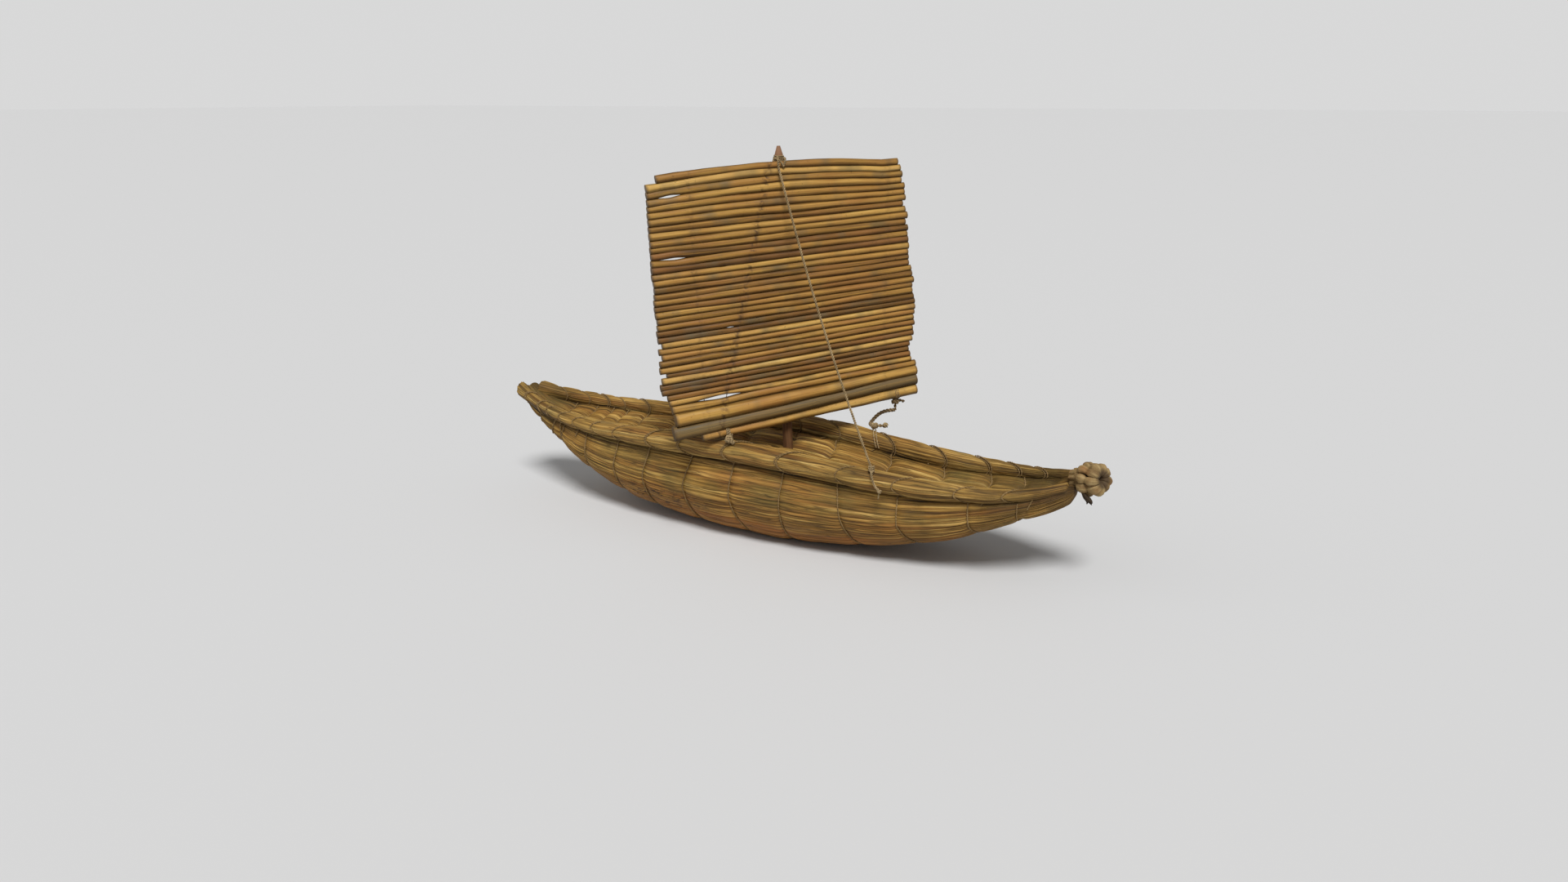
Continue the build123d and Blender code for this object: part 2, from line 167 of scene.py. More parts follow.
def bundle_outline(x):
    """Outline of a full main bundle at one x, from the deck's valley round to the keel."""
    keel, side, groove = (hull_line(c, x) for c in (KEEL, BREADTH, GROOVE))
    level, crown = crown_at(x)
    bilge = level - keel
    u = np.linspace(0, 1, 40)
    a = np.radians(90 * u)
    deck = np.stack([(side - crown) * u, level + crown - DECK_GROOVE * crown * (1 - u) ** 2], 1)
    top = np.stack([side - crown + crown * np.sin(a), level + crown * np.cos(a)], 1)[1:]
    low = np.stack([side - bilge + bilge * np.cos(a), level - bilge * np.sin(a)], 1)[1:]
    under = np.stack([(side - bilge) * (1 - u), keel + groove * u**2], 1)[1:]
    return np.concatenate([deck, top, low, under]), level


class BundleForm:
    """Surface of one main bundle: outline, pinches and lumps, without the reeds' ridges."""

    def __init__(self, side, looks):
        self.side, self.looks = side, looks
        self.cache = {}

    def outline(self, x):
        """Outline at one x, its level, the way along it as shares and its length."""
        key = round(float(x), 4)
        if key not in self.cache:
            line, level = bundle_outline(x)
            step = np.linalg.norm(np.diff(line, axis=0), axis=1)
            run = np.concatenate([[0], np.cumsum(step)])
            self.cache[key] = line, level, run / run[-1], run[-1]
        return self.cache[key]

    def row(self, x, s):
        """Points and outward normals (y, z) at one x for shares s round the outline, with
        how deep each is tied in, plus painted shade where the roll lies on the bundle."""
        line, level, run, _ = self.outline(x)
        y, z = np.interp(s, run, line[:, 0]), np.interp(s, run, line[:, 1])
        slope = 0.004
        ty = np.interp(s + slope, run, line[:, 0]) - np.interp(s - slope, run, line[:, 0])
        tz = np.interp(s + slope, run, line[:, 1]) - np.interp(s - slope, run, line[:, 1])
        size = np.hypot(ty, tz) + 1e-9
        ny, nz = -tz / size, ty / size
        flip = np.sign(ny * (y + 1) + nz * (z - level))
        ny, nz = ny * flip, nz * flip
        deck = self.deck_share(x, s)
        looks = self.looks
        lead = looks.deck_lead * deck
        broad_side, sharp_side = tied_in(x - self.course(x, s), BUNDLE_TURNS, BUNDLE_ENDS)
        broad_deck, sharp_deck = tied_in(x - lead, ROLL_TURNS[self.side], BUNDLE_ENDS)
        broad = broad_side * (1 - deck) + broad_deck * deck
        sharp = sharp_side * (1 - deck) + sharp_deck * deck
        half = float(hull_line(BREADTH, x))
        depth = looks.bundle_pinch / MM * min(1.0, half / 30) * (1 + 0.7 * deck)
        inward = depth * (0.55 * broad + 0.45 * sharp)
        inward = inward - 0.35 * wave(x + 90 * s, 70, 5 + self.side) * (1 - broad)
        # Under the roll the bundle keeps its shape and reaches into the roll's seat
        roll_y, roll_z, roll_r = (hull_line(c, x) for c in (ROLL_Y, ROLL_Z, ROLL_R))
        off_roll = np.hypot(y - roll_y, z - roll_z) - roll_r
        seat = np.exp(-(off_roll / 4.5) ** 2)
        inward = inward * (1 - 0.85 * seat) - 1.1 * seat
        taper = end_taper(x, BUNDLE_ENDS, 1.5 if x < 0 else 6.0)
        y, z = (y - ny * inward) * taper, level + (z - nz * inward - level) * taper
        # The reeds' ends stand up at the stern, and a little at the bow
        z = z + 8.5 * deck * math.exp(-((x + 258) / 13) ** 2)
        z = z + (1.2 + 3.3 * deck) * math.exp(-((x - 252) / 24) ** 2)
        # Painted shade along the join with the roll, carried with how deep the point is tied in
        seam_shade = 6 * np.exp(-(off_roll / 3.4) ** 2)
        return y, z, ny, nz, np.clip(0.5 * broad + sharp, 0, 1) + seam_shade

    def notch(self, x):
        """Share of the outline where the deck goes over into the side."""
        return 0.5 * DECK_RUN / self.outline(x)[3]

    def deck_share(self, x, s):
        """0 on the side and bottom, 1 on the deck between the roll and the valley."""
        return np.clip(1.5 - s / self.notch(x), 0, 1)

    def course(self, x, s):
        """How far forward the turn near x runs at shares s round the outline."""
        top = 0.36 * DECK_RUN / self.outline(x)[3]
        way = np.clip((s - top) / (1 - top), 0, 1)
        roll, half, keel = (np.interp(x, BUNDLE_TURNS, TURN_COURSES[:, k]) for k in range(3))
        return np.interp(way, (0, 0.12, 0.38, 0.66, 1), (roll, roll, half, keel, keel))

    def point(self, x, s, lift):
        """Point in mm over the surface."""
        y, z, ny, nz, _ = self.row(x, np.array([s], float))
        return np.array((x, self.side * (y[0] + ny[0] * lift), max(z[0] + nz[0] * lift, 0.7)))


class RollForm:
    """Surface of one roll along the edge, tied in by slanting turns."""

    def __init__(self, side, looks):
        self.side, self.looks = side, looks

    def row(self, x, angle):
        """Points, normals and pinch at one x, with painted shade added where the roll lies on the
        deck; angle 0 is outboard and 90 degrees is up.
        """
        ends = ROLL_ENDS[self.side]
        out = np.cos(angle)
        lead = -self.looks.roll_slant / MM * out * min(1.0, float(hull_line(ROLL_R, x)) / 8)
        broad, sharp = tied_in(x - lead, ROLL_TURNS[self.side], ends, 2.2)
        radius = float(hull_line(ROLL_R, x))
        depth = self.looks.roll_pinch / MM * min(1.0, radius / 6)
        ry, rz, side = (hull_line(c, x) for c in (ROLL_Y, ROLL_Z, BREADTH))
        level, crown = crown_at(x)
        seat_angle = math.atan2(level - rz, side - crown - ry)
        from_seat = np.angle(np.exp(1j * (angle - seat_angle)))
        seat = np.exp(-(from_seat / 0.75) ** 2)
        # Lumps between the turns, none in the seat, and a flare towards the stern
        r = radius + 0.15 - depth * (0.6 * broad + 0.4 * sharp) * (1 - 0.9 * seat)
        r = r + 0.3 * wave(x + 25 * np.sin(angle), 60, 11 + self.side) * (1 - broad) - 0.3
        r = r + 1.3 * np.clip((-175 - x) / 45, 0, 1) + 2.4 * math.exp(-((x - ends[0]) / 12) ** 2)
        r = (r + 1.3 * seat) * end_taper(x, ends, 1.6)
        # Painted shade in the creases at the turns and where the roll lies on the deck
        tie_and_seam_shade = np.clip(0.5 * broad + sharp, 0, 1) + 5 * np.exp(-(from_seat / 1.2) ** 4)
        return ry + r * out, rz + r * np.sin(angle), out, np.sin(angle), tie_and_seam_shade

    def point(self, x, angle, lift):
        """Point in mm over the surface."""
        y, z, ny, nz, _ = self.row(x, np.array([angle], float))
        return np.array((x, self.side * (y[0] + ny[0] * lift), z[0] + nz[0] * lift))


def stations_of(ends, turns, step):
    """Places along a bundle, close together at the turns and the ends."""
    places = list(np.arange(ends[0], ends[1], step)) + [ends[1]]
    for at in turns:
        places += [at + d for d in (-2.4, -1.2, 0.0, 1.2, 2.4)]
    for d in (0.3, 0.8, 1.6, 3.0):
        places += [ends[0] + d, ends[1] - d]
    places = np.unique(np.round(places, 2))
    keep = [places[0]]
    for p in places[1:]:
        if p - keep[-1] > 0.45 and ends[0] <= p <= ends[1]:
            keep.append(p)
    keep[-1] = ends[1]
    return np.array(keep)


RIDGE = (0.0, 0.78, 1.0, 0.78)      # height across one reed, from its edge


def reed_shares(x, count, seed, closed):
    """Edges between neighbouring reeds at each x, as shares of the way round, and each
    reed's height. Reeds grow wider and narrower along the bundle."""
    rng = np.random.default_rng(seed)
    base = rng.uniform(0.65, 1.4, count)
    fixed = np.concatenate([[0], np.cumsum(base)])
    room = np.minimum(base, np.roll(base, 1))
    stray = np.stack([room[i] * 0.36 * wave(x, rng.uniform(90, 240), seed * 97 + i)
                      for i in range(count)] + [np.zeros(len(x))], 1)
    stray[:, -1] = stray[:, 0]
    if not closed:
        stray[:, 0] = stray[:, -1] = 0
    edges = (fixed[None, :] + stray) / fixed[-1]
    if closed:
        edges = edges + 0.02 * wave(x, 260, seed + 3)[:, None]
    height = np.stack([np.clip(0.62 + 0.3 * wave(x, rng.uniform(50, 120), seed * 31 + i)
                               + rng.uniform(-0.25, 0.3), 0.1, 1.2) for i in range(count)], 1)
    return edges, height * np.clip(base, 0.5, 1)


def bundle_mesh(name, form, xs, count, seed, ridge, closed):
    """Mesh of a bundle with its reeds: a closed ring of points at each station."""
    edges, height = reed_shares(xs, count, seed, closed)
    tones = np.random.default_rng(seed + 1).uniform(0, 1, count)
    steps = len(RIDGE)
    rise, part = np.tile(RIDGE, count), np.tile(np.arange(steps), count)
    index, cut = np.arange(count * steps) / steps, 1 - rise
    if not closed:
        index, cut = np.append(index, count), np.append(cut, 1)
    verts, tie_and_seam_shade = [], []
    for x, e, high in zip(xs, edges, height):
        share = np.repeat(e[:-1], steps) + np.repeat(np.diff(e), steps) * part / steps
        lift = rise * np.repeat(high, steps)
        if not closed:
            share, lift = np.append(share, e[-1]), np.append(lift, 0)
        y, z, ny, nz, pinch = form.row(x, share * 2 * math.pi if closed else share)
        size = min(1.0, (y.max() - y.min()) / 12)
        out = (lift - 1) * ridge * (1 - 0.45 * np.minimum(pinch, 1)) * size
        y, z = y + ny * out, np.maximum(z + nz * out, 0.25)
        if not closed:
            y = np.maximum(y, 0.0)
        verts.append(np.stack([np.full_like(y, x), form.side * y, z], 1))
        tie_and_seam_shade.append(pinch)
    rows, ring = len(xs), len(index)
    grid = np.arange(rows * ring).reshape(rows, ring)
    a, b = grid[:-1], grid[1:]
    quads = np.stack([a, np.roll(a, -1, 1), np.roll(b, -1, 1), b], -1).reshape(-1, 4)
    tone = tones[np.minimum(index.astype(int), count - 1)]
    # The crease values are painted shade in the valleys between the reeds; the tie values carry
    # painted shade at the turns and where the roll lies
    return mesh_piece(name, np.concatenate(verts) * MM,
                      quads.tolist() + [grid[0].tolist(), grid[-1].tolist()],
                      {"reed": np.tile(index, rows), "run": np.repeat(xs, ring),
                       "tone": np.tile(tone, rows), "crease_shade": np.tile(cut ** 1.3, rows),
                       "tie_and_seam_shade": np.concatenate(tie_and_seam_shade)})


def mark(mesh, name, values):
    """Stores a value for each point of a mesh."""
    layer = mesh.attributes.new(name, "FLOAT", "POINT")
    layer.data.foreach_set("value", np.asarray(values, np.float32))


def points_of(mesh):
    """Points of a mesh in mm."""
    co = np.zeros(len(mesh.vertices) * 3)
    mesh.vertices.foreach_get("co", co)
    return co.reshape(-1, 3) / MM


def placed(name, data):
    """New object at the origin of the scene."""
    piece = bpy.data.objects.new(name, data)
    bpy.context.scene.collection.objects.link(piece)
    return piece


def as_mesh(source):
    """The mesh that an object shows, which takes the object's place."""
    bpy.context.view_layer.update()
    mesh = bpy.data.meshes.new_from_object(
        source.evaluated_get(bpy.context.evaluated_depsgraph_get()))
    bpy.data.objects.remove(source)
    return mesh


def mesh_piece(name, points, faces, columns):
    """New mesh object at the origin, its faces pointing outwards, with point attributes."""
    mesh = bpy.data.meshes.new(name)
    mesh.from_pydata(np.asarray(points).tolist(), [], faces)
    for key, values in columns.items():
        mark(mesh, key, values)
    shape = bmesh.new()
    shape.from_mesh(mesh)
    bmesh.ops.triangulate(shape, faces=[f for f in shape.faces if len(f.verts) > 4])
    bmesh.ops.recalc_face_normals(shape, faces=shape.faces)
    shape.to_mesh(mesh)
    shape.free()
    mesh.shade_smooth()
    return placed(name, mesh)


# ---- Lines for reeds, twine and rope ----

def line_object(name, lines):
    """Curve object of poly lines: each line is an array of x, y, z in mm and a radius."""
    data = bpy.data.curves.new(name, "CURVE")
    data.dimensions = "3D"
    for line in lines:
        line = np.asarray(line, float)
        spline = data.splines.new("POLY")
        spline.points.add(len(line) - 1)
        spline.points.foreach_set("co", np.c_[line[:, :3] * MM, np.ones(len(line))].ravel())
        spline.points.foreach_set("radius", line[:, 3] * MM)
    return placed(name, data)


def smooth_line(points, radius, step=1.0, ease=3):
    """Even, smooth line through some points in mm, with a radius, for line_object."""
    p = np.asarray(points, float)
    if p.shape[1] == 3:
        p = np.c_[p, np.full(len(p), float(radius))]
    chord = np.concatenate([[0], np.cumsum(np.linalg.norm(np.diff(p[:, :3], axis=0), axis=1))])
    count = max(4, int(chord[-1] / step) + 1)
    t = np.linspace(0, chord[-1], count)
    line = np.stack([np.interp(t, chord, p[:, i]) for i in range(4)], 1)
    for _ in range(ease):
        line[1:-1] = (line[:-2] + 2 * line[1:-1] + line[2:]) / 4
    return line


def on_rig(along, ahead, up):
    """Point in mm given along the reeds, ahead of the mast's axis and above the deck."""
    return MAST_FOOT + SAIL_ALONG * along + SAIL_AHEAD * ahead + MAST_UP * up


# ---- Node trees ----

class Wire:
    """Output of a node that works like a number in sums: each sum adds a Math node."""

    def __init__(self, tree, socket):
        self.tree, self.socket = tree, socket

    def __add__(self, other):
        return self.tree.math("ADD", self, other)

    def __sub__(self, other):
        return self.tree.math("SUBTRACT", self, other)

    def __rsub__(self, other):
        return self.tree.math("SUBTRACT", other, self)

    def __mul__(self, other):
        return self.tree.math("MULTIPLY", self, other)

    def __truediv__(self, other):
        return self.tree.math("DIVIDE", self, other)

    def __abs__(self):
        return self.tree.math("ABSOLUTE", self)

    def clamp(self):
        """Keeps the last sum between 0 and 1."""
        self.socket.node.use_clamp = True
        return self


class Nodes:
    """Builds a node tree a node at a time."""

    def __init__(self, tree):
        self.nodes, self.links = tree.nodes, tree.links

    def plug(self, socket, value):
        if isinstance(value, Wire):
            self.links.new(value.socket, socket)
        else:
            socket.default_value = value

    def add(self, kind, values=(), out=0, **settings):
        """Adds a node, sets it up and returns one of its outputs."""
        node = self.nodes.new(kind)
        for key, value in settings.items():
            setattr(node, key, value)
        for key, value in dict(values).items():
            self.plug(node.inputs[key], value)
        return Wire(self, node.outputs[out])

    def math(self, how, a, b=0.0):
        return self.add("ShaderNodeMath", {0: a, 1: b}, operation=how)


class Tree(Nodes):
    """A Geometry Nodes tree with named inputs."""

    def __init__(self, name):
        self.group = bpy.data.node_groups.new(name, "GeometryNodeTree")
        super().__init__(self.group)
        for way in ("INPUT", "OUTPUT"):
            self.group.interface.new_socket("Geometry", in_out=way,
                                            socket_type="NodeSocketGeometry")
        self.names = {}
        self.enter = self.nodes.new("NodeGroupInput")
        self.leave = self.nodes.new("NodeGroupOutput")

    def ask(self, name, kind, default=None):
        """Adds a named input."""
        socket = self.group.interface.new_socket(name, in_out="INPUT",
                                                 socket_type="NodeSocket" + kind)
        if default is not None:
            socket.default_value = default
        self.names[name] = socket.identifier
        return Wire(self, self.enter.outputs[name])

    def keep(self, geometry, name, value, domain="POINT"):
        """Stores a value on the geometry."""
        return self.add("GeometryNodeStoreNamedAttribute",
                        {"Geometry": geometry, "Name": name, "Value": value},
                        data_type="FLOAT", domain=domain)

    def sweep(self, line, profile, offset, material):
        """Sweeps a profile along lines, as thick as they ask, moves the skin in or out by an
        offset and makes that the tree's result."""
        tube = self.add("GeometryNodeCurveToMesh",
                        {"Curve": line, "Profile Curve": profile, "Fill Caps": True})
        if "Scale" in tube.socket.node.inputs:
            self.plug(tube.socket.node.inputs["Scale"], self.add("GeometryNodeInputRadius"))
        shift = self.add("ShaderNodeVectorMath",
                         {0: self.add("GeometryNodeInputNormal"), "Scale": offset},
                         operation="SCALE")
        moved = self.add("GeometryNodeSetPosition", {"Geometry": tube, "Offset": shift})
        real = self.add("GeometryNodeRealizeInstances", {"Geometry": moved})
        smooth = self.add("GeometryNodeSetShadeSmooth", {"Geometry": real})
        done = self.add("GeometryNodeSetMaterial", {"Geometry": smooth, "Material": material})
        self.plug(self.leave.inputs[0], done)
        return self


def reed_tree():
    """Round reeds along lines. Each keeps its own tone, and each point how far it lies along
    and round its reed and from the nearer end."""
    tree = Tree("round_reeds")
    sides = tree.ask("Sides", "Int", 12)
    lumps = tree.ask("Lumps", "Float", 0.0002)
    grain = tree.ask("Lumps per metre", "Float", 60.0)
    flutes = tree.ask("Flute depth", "Float", 0.0)
    grey = tree.ask("Grey line", "Int", -1)
    material = tree.ask("Material", "Material")
    seed = tree.ask("Seed", "Int", 1)
    number = tree.add("GeometryNodeInputIndex")
    length = tree.add("GeometryNodeSplineParameter", out="Length")
    factor = tree.add("GeometryNodeSplineParameter", out="Factor")
    tone = tree.add("FunctionNodeRandomValue", {"Seed": seed, "ID": number}, 1,
                    data_type="FLOAT")
    line = tree.keep(Wire(tree, tree.enter.outputs["Geometry"]), "tone", tone, "CURVE")
    line = tree.keep(line, "run", length / MM)
    line = tree.keep(line, "middle", 1.0 - abs(factor * 2.0 - 1.0))
    line = tree.keep(line, "grey", tree.math("COMPARE", number, grey), "CURVE")
    ring = tree.add("GeometryNodeCurvePrimitiveCircle", {"Resolution": sides, "Radius": 1.0})
    noise = tree.add("ShaderNodeTexNoise", {"Scale": grain, "Detail": 1.5}, "Fac")
    turn = tree.add("GeometryNodeInputNamedAttribute", {"Name": "round"}, data_type="FLOAT")
    flute = tree.math("COSINE", turn * (2 * math.pi * 5)) * flutes
    return tree.sweep(line, tree.keep(ring, "round", factor), (noise - 0.5) * lumps + flute,
                      material)


PLY_REACH = 1.06        # outer radius of laid twine, per radius of its line


def twine_tree():
    """Laid twine along lines: plies of round yarn that turn about each other."""
    tree = Tree("laid_twine")
    plies = tree.ask("Plies", "Int", 2)
    pitch = tree.ask("Pitch", "Float", 0.004)
    spacing = tree.ask("Spacing", "Float", 0.0007)
    sides = tree.ask("Sides", "Int", 5)
    fuzz = tree.ask("Unevenness", "Float", 0.0001)
    material = tree.ask("Material", "Material")
    even = tree.add("GeometryNodeResampleCurve", {
        "Curve": Wire(tree, tree.enter.outputs["Geometry"]), "Length": spacing}, mode="LENGTH")
    length = tree.add("GeometryNodeSplineParameter", out="Length")
    kept = tree.keep(even, "run", length / MM)
    turned = tree.add("GeometryNodeSetCurveTilt", {
        "Curve": kept, "Tilt": length / pitch * (2 * math.pi)})
    yarn = tree.add("GeometryNodeCurvePrimitiveCircle", {"Resolution": sides, "Radius": 0.56})
    aside = tree.add("GeometryNodeTransform", {"Geometry": yarn, "Translation": (0.5, 0.0, 0.0)})
    spin = tree.add("ShaderNodeCombineXYZ", {
        "Z": tree.add("GeometryNodeInputIndex") / plies * (2 * math.pi)})
    copies = tree.add("GeometryNodeInstanceOnPoints", {
        "Points": tree.add("GeometryNodePoints", {"Count": plies}), "Instance": aside,
        "Rotation": spin})
    profile = tree.add("GeometryNodeRealizeInstances", {"Geometry": copies})
    noise = tree.add("ShaderNodeTexNoise", {"Scale": 700.0, "Detail": 1.0}, "Fac")
    return tree.sweep(turned, profile, (noise - 0.5) * fuzz, material)


def grown_from_lines(name, lines, tree, values):
    """Runs a tree on lines and returns the result as a plain mesh at the origin."""
    source = line_object(name + "_lines", lines)
    modifier = source.modifiers.new("grow", "NODES")
    modifier.node_group = tree.group
    for key, value in values.items():
        modifier[tree.names[key]] = value
    mesh = as_mesh(source)
    mesh.name = name
    return placed(name, mesh)


# ---- Materials ----

class Finish(Nodes):
    """A procedural material."""

    def __init__(self, name):
        self.material = bpy.data.materials.new(name)
        self.material.use_nodes = True
        super().__init__(self.material.node_tree)
        self.shader = self.nodes["Principled BSDF"]
        self.place = self.add("ShaderNodeTexCoord", out="Object")

    def named(self, *names):
        """Values that the mesh carries."""
        return [self.add("ShaderNodeAttribute", out="Fac", attribute_name=n) for n in names]

    def between(self, value, low, high, to_low=0.0, to_high=1.0):
        return self.add("ShaderNodeMapRange", {
            "Value": value, "From Min": low, "From Max": high,
            "To Min": to_low, "To Max": to_high})

    def ramp(self, value, stops):
        colour = self.add("ShaderNodeValToRGB", {"Fac": value}, "Color")
        elements = colour.socket.node.color_ramp.elements
        while len(elements) > 1:
            elements.remove(elements[-1])
        elements[0].position = stops[0][0]
        elements[0].color = (*stops[0][1], 1)
        for position, tint in stops[1:]:
            elements.new(position).color = (*tint, 1)
        return colour

    def noise(self, vector, scale, detail=3.0, rough=0.6, warp=0.0):
        return self.add("ShaderNodeTexNoise", {
            "Vector": vector, "Scale": scale, "Detail": detail, "Roughness": rough,
            "Distortion": warp}, "Fac")

    def grain(self, x, y, z, *how):
        """Noise over three values."""
        return self.noise(self.add("ShaderNodeCombineXYZ", {"X": x, "Y": y, "Z": z}), 1.0, *how)

    def mix(self, share, a, b, how="MIX"):
        a, b = (c if isinstance(c, Wire) else (*c, 1) for c in (a, b))
        return self.add("ShaderNodeMix", {0: share, 6: a, 7: b}, 2, data_type="RGBA",
                        blend_type=how)

    def split(self):
        """The three parts of the place."""
        return [self.add("ShaderNodeSeparateXYZ", {0: self.place}, k) for k in range(3)]

    def end(self, colour, rough, height, distance, strength):
        bump = self.add("ShaderNodeBump", {"Height": height, "Distance": distance,
                                           "Strength": strength})
        for name, value in (("Base Color", colour), ("Roughness", rough),
                            ("Specular IOR Level", 0.22), ("Normal", bump)):
            self.plug(self.shader.inputs[name], value)
        return self.material


STRAW = ((0.0, (0.045, 0.022, 0.006)), (0.22, (0.14, 0.072, 0.017)), (0.42, (0.25, 0.138, 0.032)),
         (0.60, (0.38, 0.220, 0.054)), (0.80, (0.54, 0.34, 0.098)), (1.0, (0.70, 0.49, 0.18)))
CANE = ((0.0, (0.060, 0.028, 0.007)), (0.25, (0.17, 0.082, 0.018)), (0.45, (0.33, 0.170, 0.036)),
        (0.65, (0.50, 0.280, 0.066)), (0.85, (0.64, 0.39, 0.11)), (1.0, (0.74, 0.50, 0.18)))
FOLDS = ((0.0, (0.07, 0.040, 0.016)), (0.35, (0.19, 0.115, 0.045)), (0.6, (0.33, 0.225, 0.095)),
         (1.0, (0.52, 0.40, 0.20)))
WOOD = ((0.0, (0.040, 0.020, 0.009)), (0.45, (0.125, 0.060, 0.026)), (0.75, (0.22, 0.110, 0.046)),
        (1.0, (0.36, 0.200, 0.090)))


def reed_skin(name, olive, rust, streaks, crack, tint, stain=False):
    """Dried reed laid in a bundle: pale and brown fibres, painted shade in the creases, a rusty
    underside.
    """
    f = Finish(name)
    reed, run, tone, crease_shade, tie_and_seam_shade = f.named("reed", "run", "tone", "crease_shade", "tie_and_seam_shade")
    x, y, z = f.split()
    fibres = f.grain(reed * streaks, run * 0.011, tone, 4.0, 0.6, 0.1)
    threads = f.grain(reed * (streaks * 6.0), run * 0.022, tone, 2.0)
    lengths = f.grain(f.math("FLOOR", reed), run * 0.016, 3.1, 1.0, 0.5)
    split = f.grain(reed * 1.15, run * 0.009, 12.0, 3.0, 0.7)
    cracks = f.between(abs(split - 0.5), 0.0, crack, 0.85, 0.0)
    value = fibres * 0.85 + threads * 0.34 + (tone - 0.5) * 0.20 + (lengths - 0.5) * 0.60
    colour = f.mix(1.0, f.ramp(f.between(value, 0.30, 0.82), STRAW), tint, "MULTIPLY")
    patches = f.between(f.noise(f.place, 22.0), 0.42, 0.68) * olive
    colour = f.mix(patches.clamp(), colour, (0.130, 0.104, 0.028))
    warm = f.between(f.grain(reed * 0.45, run * 0.013, 5.5), 0.50, 0.70, 0, 0.6)
    low = f.between(z, 0.045, 0.010, 0.0, 1.3)
    colour = f.mix(((low * 0.6 + warm) * rust).clamp(), colour, (0.36, 0.135, 0.028))
    # Darker brown patches towards the bow, partly the reeds' weathering and partly painted shade
    bow = f.between(x, 0.10, 0.22, 0.0, 0.6) * f.between(f.noise(f.place, 48.0), 0.38, 0.60)
    colour = f.mix(bow, colour, (0.090, 0.052, 0.018))
    if stain:
        off = f.math("POWER", (x + 0.085) / 0.062, 2.0) + f.math("POWER", (z - 0.026) / 0.011, 2.0)
        spots = f.grain(x * 150.0, y * 60.0, z * 420.0, 4.0, 0.7)
        here = f.between(off, 1.1, 0.2) * f.between(y, 0.0, -0.02)
        colour = f.mix(here * f.between(spots, 0.52, 0.60, 0, 0.85), colour,
                       (0.040, 0.018, 0.010))
    # Painted shade: darker in the valleys between the reeds, in the creases at the turns of twine
    # and where the roll meets the deck, varied by noise and joined with the real dark cracks
    shade = f.between(f.grain(reed * 1.7, run * 0.025, 7.7), 0.34, 0.62, 0.2, 1.0)
    dark = f.math("MAXIMUM", (crease_shade * 0.62 + tie_and_seam_shade * 0.16).clamp() * shade, cracks)
    colour = f.mix(dark, colour, (0.030, 0.018, 0.008))
    rough = f.between(threads, 0.25, 0.75, 0.42, 0.72)
    return f.end(colour, rough, fibres * 0.6 + threads * 0.5, 0.0009, 0.7)


def sail_reed_skin():
    """Cut reeds of the mat: satin gold with brown lengths, dry cut ends, stains where sewn,
    painted shade in the crevices.
    """
    f = Finish("sail_reed_skin")
    run, tone, around, middle = f.named("run", "tone", "round", "middle")
    grey, sewn, crease_shade = f.named("grey", "sewn", "crease_shade")
    streak = f.grain(around * 9.0, run * 0.016, tone * 37.0, 4.0, 0.6, 0.1)
    thread = f.grain(around * 34.0, run * 0.06, tone * 91.0, 2.0)
    value = streak * 0.75 + thread * 0.2 + (tone - 0.5) * 0.46
    colour = f.mix(1.0, f.ramp(f.between(value, 0.17, 0.80), CANE), (0.98, 0.96, 0.86), "MULTIPLY")
    warm = f.between(f.grain(tone * 53.0, run * 0.02, 1.7, 2.0), 0.42, 0.72, 0.0, 0.6)
    ashen = f.math("MAXIMUM",
                   f.between(f.grain(tone * 23.0, run * 0.035, 8.2, 2.0), 0.54, 0.74, 0.0, 0.7),
                   grey * f.between(streak, 0.2, 0.7, 1.0, 0.55))
    spots = f.between(f.noise(f.place, 420.0, 2.0, 0.7), 0.66, 0.74, 0.0, 0.5)
    marks = sewn * f.between(f.noise(f.place, 330.0, 1.0), 0.42, 0.56, 0.0, 0.95)
    tip = f.between(middle, 0.0, 0.022, 0.8, 0.0)
    # Painted shade in the crevices between the reeds, broadest on each reed's underside
    deep = crease_shade * f.between(thread, 0.2, 0.6, 1.0, 0.8) * 0.92
    for share, over in ((warm, (0.36, 0.150, 0.038)), (ashen, (0.125, 0.098, 0.048)),
                        (spots, (0.07, 0.035, 0.012)), (marks, (0.085, 0.042, 0.016)),
                        (tip, (0.10, 0.062, 0.028)), (deep, (0.035, 0.018, 0.006))):
        colour = f.mix(share, colour, over)
    return f.end(colour, f.between(thread, 0.3, 0.7, 0.36, 0.58), streak, 0.0005, 0.55)


def knob_skin():
    """Reed ends folded into the knob: matt and pale, with painted shade in the folds."""
    f = Finish("knob_reed_skin")
    run, tone, around, deep = f.named("run", "tone", "round", "crease_shade")
    streak = f.grain(around * 13.0, run * 0.10, tone * 17.0, 4.0, 0.65, 0.3)
    value = streak * 0.6 + f.noise(f.place, 120.0) * 0.4
    colour = f.ramp(f.between(value, 0.25, 0.75), FOLDS)
    warm = f.between(f.noise(f.place, 75.0, 2.0), 0.52, 0.70, 0.0, 0.6)
    colour = f.mix(warm, colour, (0.30, 0.130, 0.040))
    # Painted shade deep in the folds
    colour = f.mix(f.between(deep, 0.25, 1.0, 0.0, 0.85), colour, (0.060, 0.036, 0.020))
    return f.end(colour, 0.72, value, 0.0009, 0.8)


def twine_skin(name, pale, dark):
    """Plant twine, paler and darker along its length."""
    f = Finish(name)
    strand = f.noise(f.place, 900.0, 2.0)
    patch = f.grain(f.named("run")[0] * 0.12, 0.3, 0.7, 2.0)
    colour = f.ramp(f.between(strand * 0.5 + patch * 0.5, 0.3, 0.7), ((0.0, dark), (1.0, pale)))
    return f.end(colour, 0.82, strand, 0.0003, 0.6)


